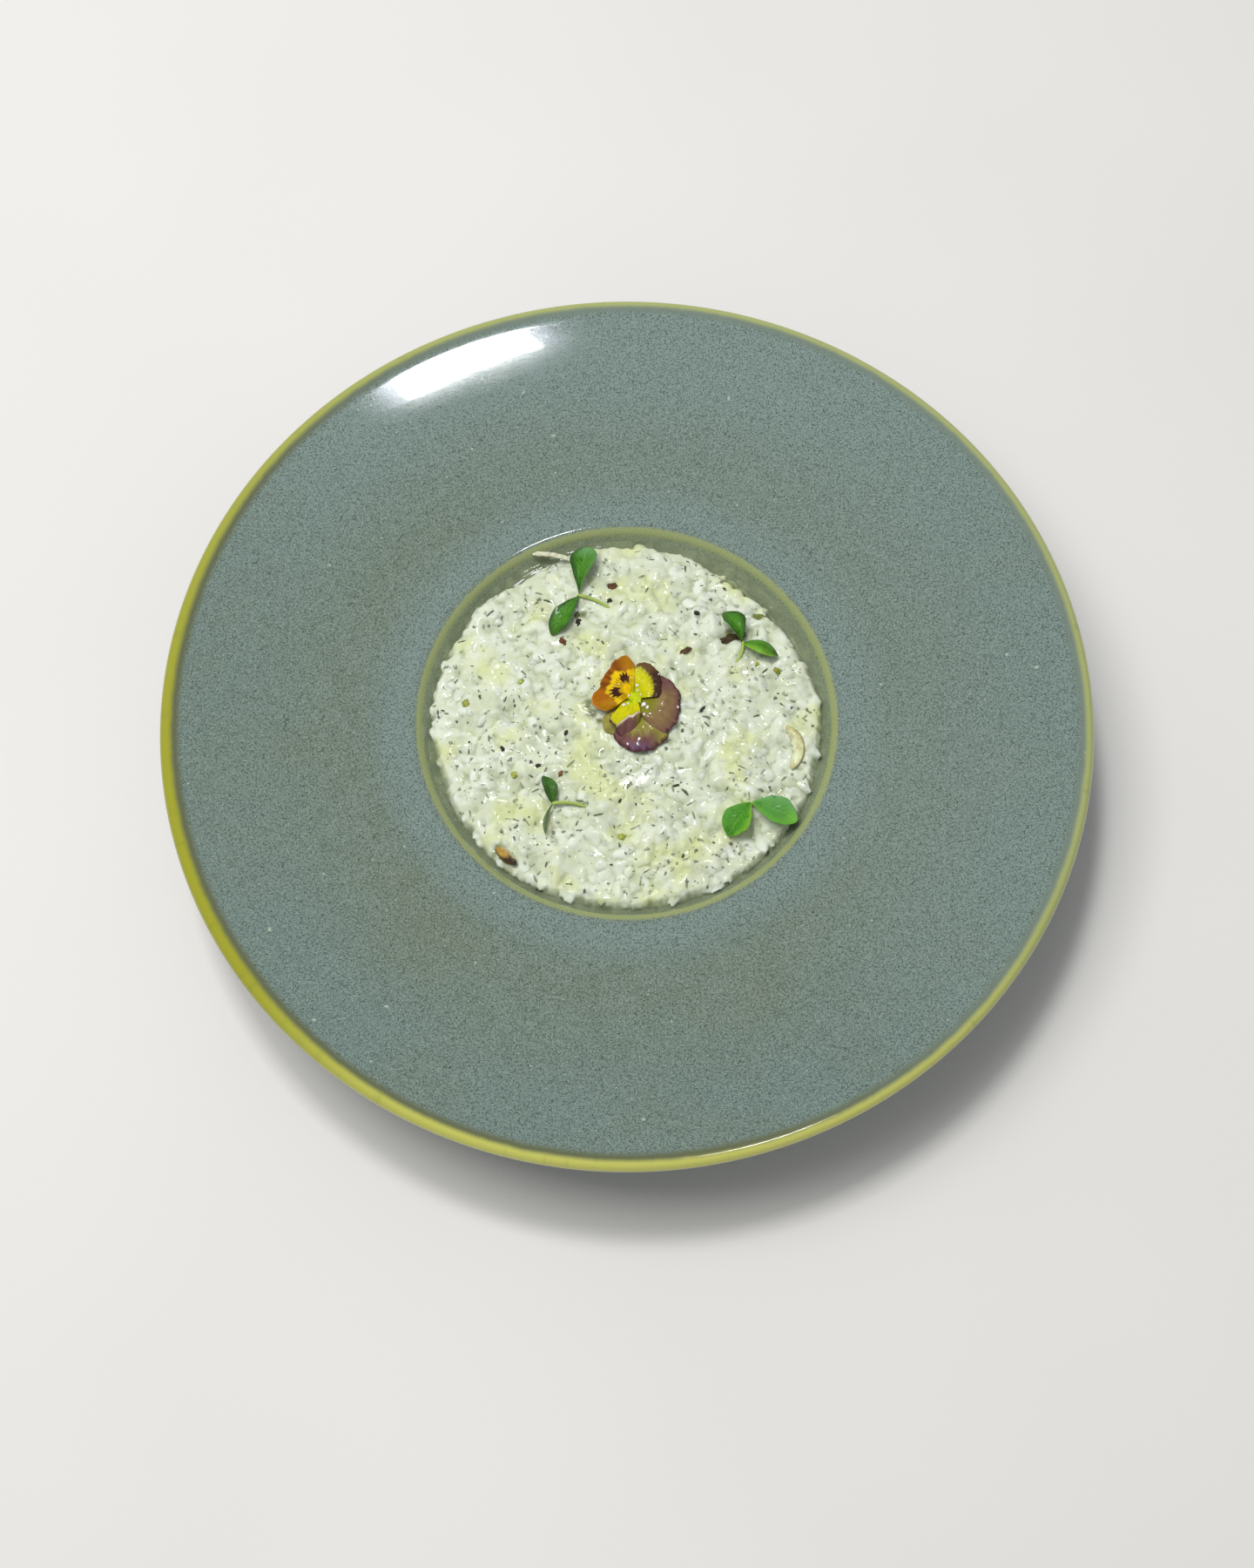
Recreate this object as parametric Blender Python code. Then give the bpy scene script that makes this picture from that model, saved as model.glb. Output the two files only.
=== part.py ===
"""Truffle risotto served in the well of a wide-brimmed stoneware plate.

The plate's foot stands on z = 0 with its axis on +Z, and the diner sits on the -Y side. Lengths are in
metres. The rice is one solid: a bare core that fills the well, with the grains and truffle chips that show
fused on. The flower, the cress sprigs, the mushroom pieces and the cheese shred rest on that core.
"""

import math
import random

import bmesh
import bpy
from mathutils import Euler, Matrix, Vector, noise
from mathutils.bvhtree import BVHTree

MM = 0.001
SEED = 11

# Plate
PLATE_RADIUS = 140 * MM
PLATE_HEIGHT = 44 * MM
PLATE_SEGMENTS = 60
LIP_RADIUS = 2.4 * MM
BRIM_THICKNESS = 4.7 * MM
BRIM_SLOPE_AT_WELL = 4.0
BRIM_SLOPE_AT_LIP = 12.2
SHOULDER_RADIUS = 4 * MM
SHOULDER_CENTRE_RADIUS = 65.4 * MM
WALL_SLOPE = 60.0
WALL_THICKNESS = 5 * MM
FLOOR_HEIGHT = 7 * MM
FLOOR_FILLET = 16 * MM
UNDER_BRIM_FILLET = 7 * MM
FOOT_OUTER_RADIUS = 46 * MM
FOOT_WIDTH = 4 * MM
FOOT_HEIGHT = 2.5 * MM

# Risotto
RICE_EDGE_RADIUS = 58.3 * MM
RICE_EDGE_HEIGHT = 30.2 * MM
RICE_DOME = 3.2 * MM
RICE_LUMP = 0.8 * MM
RICE_DENT_HEADING = 43.0
RICE_SEGMENTS = 36
RICE_WALL_TOP = 27 * MM
GRAIN_LENGTH = 7.2 * MM
GRAIN_WIDTH = 3.0 * MM
SURFACE_GRAINS = 128
RIM_GRAINS = 30
INWARD_STEP = 0.8 * MM
TRUFFLE_CHIPS = 14
REST_GAP = 0.35 * MM
PIECE_GAP = 0.4 * MM

GOLDEN_ANGLE = math.pi * (3 - math.sqrt(5))


# ---------------------------------------------------------------- helpers


def clear_scene():
    for obj in list(bpy.data.objects):
        bpy.data.objects.remove(obj, do_unlink=True)


def material(name, colour, roughness, metallic=0.0):
    made = bpy.data.materials.new(name)
    made.use_nodes = True
    shader = made.node_tree.nodes["Principled BSDF"]
    shader.inputs["Base Color"].default_value = (*colour, 1.0)
    shader.inputs["Roughness"].default_value = roughness
    shader.inputs["Metallic"].default_value = metallic
    made.diffuse_color = (*colour, 1.0)
    return made


def add_object(name, data, finish=None):
    obj = bpy.data.objects.new(name, data)
    bpy.context.scene.collection.objects.link(obj)
    if finish is not None:
        obj.data.materials.clear()
        obj.data.materials.append(finish)
    return obj


def object_from_bmesh(name, bm, finish=None):
    bmesh.ops.recalc_face_normals(bm, faces=bm.faces)
    mesh = bpy.data.meshes.new(name)
    bm.to_mesh(mesh)
    bm.free()
    return add_object(name, mesh, finish)


def bake_modifiers(obj):
    """Replaces the object's mesh by what its modifiers make of it."""
    bpy.context.view_layer.update()
    graph = bpy.context.evaluated_depsgraph_get()
    mesh = bpy.data.meshes.new_from_object(obj.evaluated_get(graph))
    obj.modifiers.clear()
    obj.data = mesh


def fuse(body, pieces, solver="EXACT"):
    """One Boolean union of body with every piece. The pieces are removed afterwards."""
    collection = bpy.data.collections.new(body.name + "_pieces")
    bpy.context.scene.collection.children.link(collection)
    for piece in pieces:
        collection.objects.link(piece)
    union = body.modifiers.new("fuse", "BOOLEAN")
    union.operation = "UNION"
    union.operand_type = "COLLECTION"
    union.collection = collection
    union.solver = solver
    bake_modifiers(body)
    for piece in pieces:
        bpy.data.objects.remove(piece, do_unlink=True)
    bpy.data.collections.remove(collection)


def tree_of(obj):
    """A search tree of the object's evaluated faces in world space."""
    bpy.context.view_layer.update()
    bm = bmesh.new()
    bm.from_object(obj, bpy.context.evaluated_depsgraph_get())
    bm.transform(obj.matrix_world)
    tree = BVHTree.FromBMesh(bm)
    points = [v.co.copy() for v in bm.verts]
    bm.free()
    return tree, points


def lower_onto(obj, supports, gap=REST_GAP):
    """Moves the object straight down, or up, until it clears the supports below it by gap."""
    lift = PLATE_HEIGHT
    obj.location.z += lift
    own_tree, own_points = tree_of(obj)
    down, up = Vector((0, 0, -1)), Vector((0, 0, 1))
    drops = []
    for tree, points in supports:
        drops += [tree.ray_cast(point, down)[3] for point in own_points]
        drops += [own_tree.ray_cast(point, up)[3] for point in points]
    obj.location.z -= min(drop for drop in drops if drop is not None) - gap
    bpy.context.view_layer.update()
    obj.data.transform(obj.matrix_world)
    obj.matrix_world = Matrix.Identity(4)


# ---------------------------------------------------------------- plate


def polar(centre, radius, degrees):
    angle = math.radians(degrees)
    return centre[0] + radius * math.cos(angle), centre[1] + radius * math.sin(angle)


def arc(centre, radius, start, end, steps):
    """Points (r, z) round centre, from start to end in degrees."""
    return [polar(centre, radius, start + (end - start) * i / steps) for i in range(steps + 1)]


def well_wall_radius(height):
    """Inner radius of the well's straight wall at a height."""
    top_r, top_z = polar(shoulder_centre(), SHOULDER_RADIUS, 90 + WALL_SLOPE)
    return top_r - (top_z - height) / math.tan(math.radians(WALL_SLOPE))


def lip_centre():
    return PLATE_RADIUS - LIP_RADIUS, PLATE_HEIGHT - LIP_RADIUS


def brim_height(r):
    """Height of the brim's concave upper face, which steepens evenly from the well to the lip."""
    inner = SHOULDER_CENTRE_RADIUS
    outer, top = polar(lip_centre(), LIP_RADIUS, 90 + BRIM_SLOPE_AT_LIP)
    low = math.tan(math.radians(BRIM_SLOPE_AT_WELL))
    high = math.tan(math.radians(BRIM_SLOPE_AT_LIP))
    bend = (high - low) / (outer - inner)

    def rise(span):
        return low * span + bend * span**2 / 2

    return top - rise(outer - inner) + rise(r - inner)


def shoulder_centre():
    """Centre of the rounded edge where the brim turns down into the well."""
    tilt = math.radians(BRIM_SLOPE_AT_WELL)
    edge = SHOULDER_CENTRE_RADIUS - SHOULDER_RADIUS * math.sin(tilt)
    return SHOULDER_CENTRE_RADIUS, brim_height(edge) - SHOULDER_RADIUS * math.cos(tilt)


def floor_fillet_centre():
    """Centre of the concave arc that joins the well's wall to its flat floor."""
    tilt = math.radians(WALL_SLOPE)
    centre_z = FLOOR_HEIGHT + FLOOR_FILLET
    tangent_z = centre_z - FLOOR_FILLET * math.cos(tilt)
    return well_wall_radius(tangent_z) - FLOOR_FILLET * math.sin(tilt), centre_z


def plate_outline():
    """Half section of the plate, from the well's centre over the brim and lip to the foot's underside."""
    fillet = floor_fillet_centre()
    outline = [(0.0, FLOOR_HEIGHT)]
    outline += arc(fillet, FLOOR_FILLET, -90, -90 + WALL_SLOPE, 3)
    outline += arc(shoulder_centre(), SHOULDER_RADIUS, 90 + WALL_SLOPE, 90 + BRIM_SLOPE_AT_WELL, 3)
    brim_radii = [SHOULDER_CENTRE_RADIUS + share * (PLATE_RADIUS - SHOULDER_CENTRE_RADIUS)
                  for share in (0.25, 0.5, 0.75)]
    outline += [(r, brim_height(r)) for r in brim_radii]
    outline += arc(lip_centre(), LIP_RADIUS, 90 + BRIM_SLOPE_AT_LIP, -75, 4)
    outline += [(r, brim_height(r) - BRIM_THICKNESS) for r in reversed(brim_radii[1:])]
    wall_top = well_wall_radius(brim_height(SHOULDER_CENTRE_RADIUS)) + WALL_THICKNESS
    under_brim = (wall_top + UNDER_BRIM_FILLET,
                  brim_height(SHOULDER_CENTRE_RADIUS) - BRIM_THICKNESS - UNDER_BRIM_FILLET)
    outline += arc(under_brim, UNDER_BRIM_FILLET, 90 + BRIM_SLOPE_AT_WELL, 90 + WALL_SLOPE, 2)
    outer = FLOOR_FILLET + WALL_THICKNESS
    foot_angle = -math.degrees(math.acos((FOOT_OUTER_RADIUS - fillet[0]) / outer))
    outline += arc(fillet, outer, -90 + WALL_SLOPE, foot_angle, 3)
    bevel = FOOT_HEIGHT / 4
    foot_inner = FOOT_OUTER_RADIUS - FOOT_WIDTH
    outline += [(FOOT_OUTER_RADIUS, bevel), (FOOT_OUTER_RADIUS - bevel, 0.0)]
    outline += [(foot_inner + bevel, 0.0), (foot_inner, bevel), (foot_inner - bevel, FOOT_HEIGHT)]
    outline += [(0.0, FOOT_HEIGHT)]
    return outline


def lathe(name, outline, segments, finish):
    """A solid of revolution about Z. The outline runs from the axis down its outer side and back."""
    mesh = bpy.data.meshes.new(name)
    mesh.from_pydata([(r, 0.0, z) for r, z in outline], [(i, i + 1) for i in range(len(outline) - 1)], [])
    obj = add_object(name, mesh, finish)
    screw = obj.modifiers.new("turn", "SCREW")
    screw.axis = "Z"
    screw.steps = screw.render_steps = segments
    screw.use_merge_vertices = True
    screw.merge_threshold = 1e-5
    bake_modifiers(obj)
    return obj


def build_plate():
    glaze = material("glaze", (0.20, 0.26, 0.23), 0.2)
    plate = lathe("plate", plate_outline(), PLATE_SEGMENTS, glaze)
    plate.data.shade_smooth()
    plate.data.set_sharp_from_angle(angle=math.radians(35))
    return plate


# ---------------------------------------------------------------- risotto core


def rice_height(x, y):
    """Height of the bare core's top: a low dome with soft lumps as wide as a few grains."""
    share = min(1.0, math.hypot(x, y) / RICE_EDGE_RADIUS)
    dome = RICE_DOME * (1 - share**2.4)
    lumps = noise.noise(Vector((x, y, 0)) * 70) + 0.7 * noise.noise(Vector((x, y, MM)) * 150)
    return RICE_EDGE_HEIGHT + dome + RICE_LUMP * lumps


def edge_swell(angle):
    """How far the rice's outline departs from a circle at an angle, as a share."""
    from_dent = math.remainder(angle - math.radians(RICE_DENT_HEADING), math.tau)
    dent = -0.045 * math.exp(-((from_dent / 0.45) ** 2))
    return dent + 0.006 * math.sin(5 * angle) + 0.006 * math.sin(11 * angle)


def build_core():
    """The bare rice: it fills the well, a gap clear of its wall and floor."""
    fillet = floor_fillet_centre()
    clearance = REST_GAP / math.sin(math.radians(WALL_SLOPE)) + 0.2 * MM
    facet = FLOOR_FILLET * (1 - math.cos(math.radians(WALL_SLOPE / 6))) + 0.1 * MM
    rings = (0.0, 0.12, 0.25, 0.37, 0.48, 0.58, 0.68, 0.77, 0.86, 0.94)
    outline = [(share * RICE_EDGE_RADIUS, RICE_EDGE_HEIGHT) for share in rings]
    outline += [(RICE_EDGE_RADIUS, RICE_EDGE_HEIGHT - 0.8 * MM)]
    outline += [(RICE_EDGE_RADIUS + 0.5 * MM, RICE_EDGE_HEIGHT - 1.9 * MM)]
    outline += [(well_wall_radius(RICE_WALL_TOP) - clearance, RICE_WALL_TOP)]
    outline += arc(fillet, FLOOR_FILLET - REST_GAP - facet, -90 + WALL_SLOPE, -90, 2)
    outline += [(0.0, FLOOR_HEIGHT + REST_GAP)]
    core = lathe("risotto", outline, RICE_SEGMENTS, material("rice", (0.80, 0.81, 0.66), 0.35))
    top_limit = RICE_EDGE_HEIGHT - 2 * MM
    for vertex in core.data.vertices:
        x, y, z = vertex.co
        if z < top_limit:
            continue
        reach = math.hypot(x, y) / RICE_EDGE_RADIUS
        swell = 1 + edge_swell(math.atan2(y, x)) * min(1.0, reach) ** 6
        vertex.co.x, vertex.co.y = x * swell, y * swell
        vertex.co.z = z + rice_height(x, y) - RICE_EDGE_HEIGHT
    core.data.shade_flat()
    return core


# ---------------------------------------------------------------- thin sheets: leaves and petals


def thin_sheet(name, shape, rows, columns, thickness, finish):
    """A thin closed solid round the sheet that shape(t, s) gives, t along it from 0 to 1 and s across from -1
    to 1. Its two ends are points, and the faces are split into triangles before they are thickened."""
    bm = bmesh.new()
    lines = []
    for i in range(rows + 1):
        t = (1 - math.cos(math.pi * i / rows)) / 2
        spread = [0.0] if i in (0, rows) else [2 * j / columns - 1 for j in range(columns + 1)]
        lines.append([bm.verts.new(shape(t, s)) for s in spread])
    for first, second in zip(lines, lines[1:]):
        for j in range(columns):
            if len(first) == 1:
                bm.faces.new((first[0], second[j], second[j + 1]))
            elif len(second) == 1:
                bm.faces.new((first[j], second[0], first[j + 1]))
            else:
                bm.faces.new((first[j], second[j], second[j + 1]))
                bm.faces.new((first[j], second[j + 1], first[j + 1]))
    sheet = object_from_bmesh(name, bm, finish)
    skin = sheet.modifiers.new("thickness", "SOLIDIFY")
    skin.thickness = thickness
    skin.offset = 0
    bake_modifiers(sheet)
    return sheet


def blade(length, width, belly, arch, cup, ruffle=0.0, notch=0.0, curl=0.0):
    """Shape function of a leaf or petal that starts at the origin and runs along +X.

    belly is where along it the blade is widest, arch how high it rises midway and cup how far its sides
    stand up. ruffle is how deep the waves of its margin are, notch how far the tip's middle is drawn in, and
    curl how far the tip lifts.
    """
    power = math.log(0.5) / math.log(belly)

    def shape(t, s):
        half = width / 2 * math.sin(math.pi * t**power) ** 0.7 if 0 < t < 1 else 0.0
        along = length * t * (1 - notch * t**3 * math.exp(-((s / 0.35) ** 2)))
        up = arch * math.sin(math.pi * t) + cup * s**2 * math.sin(math.pi * t) + curl * t**3
        up += ruffle * math.sin(7 * s + 3 * t) * t * min(1.0, 3 * (1 - t) + 0.4)
        return Vector((along, half * s, up))

    return shape


def stalk(name, points, radius, finish):
    """A round stalk along the points, closed at both ends."""
    curve = bpy.data.curves.new(name, "CURVE")
    curve.dimensions = "3D"
    curve.bevel_depth = radius
    curve.bevel_resolution = 1
    curve.use_fill_caps = True
    spline = curve.splines.new("POLY")
    spline.points.add(len(points) - 1)
    for spot, point in zip(spline.points, points):
        spot.co = (*point, 1.0)
    guide = add_object(name + "_guide", curve)
    bpy.context.view_layer.update()
    mesh = bpy.data.meshes.new_from_object(guide.evaluated_get(bpy.context.evaluated_depsgraph_get()))
    bpy.data.objects.remove(guide, do_unlink=True)
    bm = bmesh.new()
    bm.from_mesh(mesh)
    bmesh.ops.remove_doubles(bm, verts=bm.verts, dist=1e-6)
    return object_from_bmesh(name, bm, finish)


# ---------------------------------------------------------------- cress sprigs

# Each sprig: where its leaves join, its leaves as (heading, length, width, belly, arch, cup, roll) in degrees
# and millimetres, and the heading and length of its stem.
SPRIGS = {
    "sprig_back_left": {
        "joint": (-14.8, 40.0),
        "leaves": [(81, 17.0, 8.2, 0.70, 2.2, 1.4, -12), (238, 15.8, 6.6, 0.62, 1.2, 1.0, 14)],
        "stem": (-24, 12.0),
    },
    "sprig_back_right": {
        "joint": (35.4, 24.1),
        "leaves": [(118, 11.8, 6.8, 0.62, 2.4, 1.6, 16), (-22, 11.6, 7.0, 0.55, 2.4, -1.4, -34)],
        "stem": (-112, 7.0),
    },
    "sprig_front_left": {
        "joint": (-22.2, -28.4),
        "leaves": [(109, 9.4, 4.6, 0.50, 1.4, 1.0, 22), (258, 9.8, 4.4, 0.60, 1.0, 0.8, 62)],
        "stem": (-4, 11.0),
    },
    "sprig_front_right": {
        "joint": (37.3, -27.4),
        "leaves": [(236, 13.0, 8.8, 0.62, 1.6, 1.2, 8), (-24, 15.0, 8.8, 0.58, 1.4, 1.2, -6)],
        "stem": (158, 3.4),
    },
}
LEAF_THICKNESS = 0.5 * MM
STEM_RADIUS = 0.65 * MM
JOINT_LIFT = 1.6 * MM


def build_sprig(name, plan, supports, finish):
    """Two seed leaves and their stem, fused into one solid and laid on the rice."""
    leaves = []
    for i, (heading, length, width, belly, arch, cup, roll) in enumerate(plan["leaves"]):
        shape = blade(length * MM, width * MM, belly, arch * MM, cup * MM)
        leaf = thin_sheet(f"{name}_leaf_{i}", shape, 6, 4, LEAF_THICKNESS, finish)
        leaf.rotation_euler = Euler((math.radians(roll), 0, math.radians(heading)))
        leaf.location.z = JOINT_LIFT
        leaves.append(leaf)
    heading, reach = plan["stem"]
    along = Vector((math.cos(math.radians(heading)), math.sin(math.radians(heading)), 0))
    back = along * -0.6 * MM
    side = Vector((-along.y, along.x, 0))
    steps = 5
    points = [back + Vector((0, 0, JOINT_LIFT))]
    for i in range(1, steps + 1):
        share = i / steps
        bow = side * 0.9 * MM * math.sin(math.pi * share)
        points.append(along * reach * MM * share + bow + Vector((0, 0, JOINT_LIFT * (1 - share))))
    sprig = stalk(name, points, STEM_RADIUS, finish)
    fuse(sprig, leaves)
    x, y = plan["joint"]
    sprig.location = (x * MM, y * MM, 0)
    lower_onto(sprig, supports)
    sprig.data.materials.clear()
    sprig.data.materials.append(finish)
    return sprig


# ---------------------------------------------------------------- viola

# The sepal and the petals round the throat, lowest first, with angles in degrees and lengths in millimetres.
PETALS = [
    {"heading": 226, "length": 12.0, "width": 5.5, "belly": 0.62, "lift": -0.3, "arch": 0.4, "cup": 0.3,
     "ruffle": 0.0, "notch": 0.0, "curl": -0.4},
    {"heading": -82, "length": 16.6, "width": 18, "belly": 0.68, "lift": 0.2, "arch": 0.6, "cup": 0.6,
     "ruffle": 0.5, "notch": 0.05, "curl": -0.3},
    {"heading": -4, "length": 14.6, "width": 18.5, "belly": 0.66, "lift": 0.7, "arch": 1.0, "cup": 0.8,
     "ruffle": 0.5, "notch": 0.06, "curl": 0.2},
    {"heading": 248, "length": 13.0, "width": 10.5, "belly": 0.66, "lift": 1.1, "arch": 1.6, "cup": 1.2,
     "ruffle": 0.4, "notch": 0.0, "curl": 0.8},
    {"heading": 44, "length": 11.0, "width": 11, "belly": 0.62, "lift": 1.4, "arch": 0.8, "cup": 1.4,
     "ruffle": 0.4, "notch": 0.0, "curl": 1.8},
    {"heading": 139, "length": 13.6, "width": 19.5, "belly": 0.60, "lift": 1.7, "arch": 0.2, "cup": 1.3,
     "ruffle": 0.6, "notch": 0.10, "curl": 1.4},
]
VIOLA_THROAT = (2.6 * MM, 4.7 * MM)
PETAL_THICKNESS = 0.55 * MM
PETAL_START = 0.5 * MM
HEART_RADIUS = 2.1 * MM


def build_viola(supports):
    """Five petals and a sepal fused round a small heart."""
    finish = material("petal", (0.42, 0.20, 0.16), 0.4)
    petals = []
    for i, plan in enumerate(PETALS):
        shape = blade(plan["length"] * MM, plan["width"] * MM, plan["belly"], plan["arch"] * MM,
                      plan["cup"] * MM, plan["ruffle"] * MM, plan["notch"], plan["curl"] * MM)
        petal = thin_sheet(f"petal_{i}", shape, 6, 6, PETAL_THICKNESS, finish)
        heading = math.radians(plan["heading"])
        petal.rotation_euler = Euler((0, 0, heading))
        petal.location = (PETAL_START * math.cos(heading), PETAL_START * math.sin(heading), plan["lift"] * MM)
        petals.append(petal)
    bm = bmesh.new()
    bmesh.ops.create_uvsphere(bm, u_segments=7, v_segments=5, radius=HEART_RADIUS)
    bmesh.ops.transform(bm, matrix=Matrix.Diagonal((1, 1, 0.75, 1)), verts=bm.verts)
    heart = object_from_bmesh("viola", bm, finish)
    heart.location.z = 0.8 * MM
    bpy.context.view_layer.update()
    heart.data.transform(heart.matrix_world)
    heart.location.z = 0
    fuse(heart, petals, solver="MANIFOLD")
    heart.location = (*VIOLA_THROAT, 0)
    lower_onto(heart, supports)
    heart.data.materials.clear()
    heart.data.materials.append(finish)
    return heart


# ---------------------------------------------------------------- mushroom pieces and cheese shred

MUSHROOM_THICKNESS = 1.3 * MM


def crescent(name, radius, width, sweep, thickness, finish):
    """A curved slice: a flat crescent that is widest halfway round and has blunt ends."""
    steps = 8
    bm = bmesh.new()
    outer, inner = [], []
    for i in range(steps + 1):
        angle = math.radians(sweep) * (i / steps - 0.5)
        depth = width * (0.45 + 0.55 * math.sin(math.pi * i / steps))
        height = 0.4 * MM * math.sin(2 * angle)
        outer.append(bm.verts.new((radius * math.cos(angle), radius * math.sin(angle), height)))
        near = radius - depth
        inner.append(bm.verts.new((near * math.cos(angle), near * math.sin(angle), height)))
    for i in range(steps):
        bm.faces.new((outer[i], outer[i + 1], inner[i + 1]))
        bm.faces.new((outer[i], inner[i + 1], inner[i]))
    piece = object_from_bmesh(name, bm, finish)
    skin = piece.modifiers.new("thickness", "SOLIDIFY")
    skin.thickness = thickness
    skin.offset = 0
    bake_modifiers(piece)
    return piece


def build_mushrooms(supports):
    flesh = material("mushroom", (0.62, 0.50, 0.26), 0.35)
    right = crescent("mushroom_right", 7.6 * MM, 3.0 * MM, 136, MUSHROOM_THICKNESS, flesh)
    right.rotation_euler = Euler((math.radians(3), 0, math.radians(6)))
    right.location = (46.2 * MM, -9.9 * MM, 0)
    lower_onto(right, supports)
    front = crescent("mushroom_front", 7.0 * MM, 3.6 * MM, 84, MUSHROOM_THICKNESS * 1.3, flesh)
    front.rotation_euler = Euler((math.radians(10), math.radians(6), math.radians(226)))
    front.location = (-32.4 * MM, -40.0 * MM, 0)
    lower_onto(front, supports)
    return right, front


def build_shred(supports):
    """A curl of hard cheese that leans from the rice on to the well's wall."""
    finish = material("cheese", (0.72, 0.74, 0.58), 0.4)
    length, width, thickness = 12.6 * MM, 1.7 * MM, 0.7 * MM
    steps = 5
    bm = bmesh.new()
    sides = []
    for i in range(steps + 1):
        share = i / steps - 0.5
        bow = 0.5 * MM * math.cos(math.pi * share)
        sides.append([bm.verts.new((length * share, side * width / 2 + bow, bow)) for side in (-1, 1)])
    for first, second in zip(sides, sides[1:]):
        bm.faces.new((first[0], second[0], second[1]))
        bm.faces.new((first[0], second[1], first[1]))
    shred = object_from_bmesh("cheese_shred", bm, finish)
    skin = shred.modifiers.new("thickness", "SOLIDIFY")
    skin.thickness = thickness
    skin.offset = 0
    bake_modifiers(shred)
    shred.rotation_euler = Euler((0, math.radians(6), math.radians(-7)))
    shred.location = (-23.2 * MM, 54.0 * MM, 0)
    lower_onto(shred, supports)
    return shred


# ---------------------------------------------------------------- grains and truffle chips on the core


def grain_mesh():
    """One cooked grain of unit size, five-sided with blunt ends, along X."""
    bm = bmesh.new()
    bmesh.ops.create_uvsphere(bm, u_segments=5, v_segments=3, radius=0.5)
    bmesh.ops.rotate(bm, verts=bm.verts, matrix=Matrix.Rotation(math.pi / 2, 3, "Y"))
    for vertex in bm.verts:
        if abs(vertex.co.x) < 0.4:
            vertex.co = Vector((vertex.co.x * 1.4, vertex.co.y * 1.12, vertex.co.z * 1.12))
    mesh = bpy.data.meshes.new("grain")
    bm.to_mesh(mesh)
    bm.free()
    return mesh


def chip_mesh():
    """One truffle chip of unit size: a cube with one end drawn in."""
    bm = bmesh.new()
    bmesh.ops.create_cube(bm, size=1.0)
    for vertex in bm.verts:
        if vertex.co.x > 0:
            vertex.co.y *= 0.55
            vertex.co.z *= 0.7
    mesh = bpy.data.meshes.new("chip")
    bm.to_mesh(mesh)
    bm.free()
    return mesh


def spread_over_disc(count, radius, turn=0.0):
    """Points spread evenly over a disc, by turning a golden angle from each to the next."""
    for i in range(count):
        distance = radius * math.sqrt((i + 0.5) / count)
        angle = i * GOLDEN_ANGLE + turn
        yield distance * math.cos(angle), distance * math.sin(angle)


def clear_of(obj, half_width, trees):
    """Whether the object, taken as a rod along its X axis, keeps PIECE_GAP to every tree."""
    axis = obj.matrix_world.to_3x3() @ Vector((0.5, 0, 0))
    for share in (-0.85, -0.4, 0, 0.4, 0.85):
        point = obj.matrix_world.translation + axis * share
        for tree in trees:
            if tree.find_nearest(point, half_width + PIECE_GAP)[0] is not None:
                return False
    return True


def place_piece(name, mesh, core_tree, spot, size, turn, sink):
    """A piece of that size laid in the core's surface at spot, sunk by a share of its thickness."""
    obj = add_object(name, mesh)
    surface = core_tree.ray_cast(Vector((*spot, PLATE_HEIGHT)), Vector((0, 0, -1)))[0]
    middle = surface + Vector((0, 0, size[2] * (0.5 - sink)))
    obj.matrix_world = Matrix.LocRotScale(middle, Euler(turn), Vector(size))
    return obj


def build_grains(draw, core_tree, blockers):
    """The grains and chips that show. One that would cross a topping or the plate is moved towards the middle
    by up to two steps, or else left out."""
    grain, chip = grain_mesh(), chip_mesh()
    wanted = []
    for spot in spread_over_disc(SURFACE_GRAINS, RICE_EDGE_RADIUS * 0.95):
        length, width = GRAIN_LENGTH * draw.uniform(0.85, 1.1), GRAIN_WIDTH * draw.uniform(0.9, 1.1)
        size = (length, width, GRAIN_WIDTH * 0.85)
        turn = (draw.uniform(0, 1), draw.uniform(-0.18, 0.18), draw.uniform(0, math.tau))
        wanted.append(("grain", grain, spot, size, turn, draw.uniform(0.26, 0.44)))
    for i in range(RIM_GRAINS):
        angle = math.tau * (i + draw.uniform(-0.3, 0.3)) / RIM_GRAINS
        distance = RICE_EDGE_RADIUS * (0.985 + edge_swell(angle)) - draw.uniform(0.6, 1.6) * MM
        spot = (distance * math.cos(angle), distance * math.sin(angle))
        size = (GRAIN_LENGTH * draw.uniform(0.8, 1.0), GRAIN_WIDTH, GRAIN_WIDTH * 0.85)
        turn = (0, draw.uniform(0.1, 0.3), angle + draw.uniform(-1.1, 1.1))
        wanted.append(("grain", grain, spot, size, turn, 0.6))
    for spot in spread_over_disc(TRUFFLE_CHIPS, RICE_EDGE_RADIUS * 0.9, turn=1.0):
        size = (draw.uniform(1.9, 3.4) * MM, draw.uniform(1.1, 1.6) * MM, 1.4 * MM)
        turn = (draw.uniform(-0.3, 0.3), draw.uniform(-0.2, 0.2), draw.uniform(0, math.tau))
        wanted.append(("chip", chip, spot, size, turn, 0.35))
    made = []
    for kind, mesh, spot, size, turn, sink in wanted:
        for step in range(3):
            inward = 1 - step * INWARD_STEP / max(math.hypot(*spot), INWARD_STEP)
            nearer = (spot[0] * inward, spot[1] * inward)
            piece = place_piece(kind, mesh, core_tree, nearer, size, turn, sink)
            if clear_of(piece, size[1] / 2, blockers):
                made.append(piece)
                break
            bpy.data.objects.remove(piece, do_unlink=True)
    return made


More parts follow.
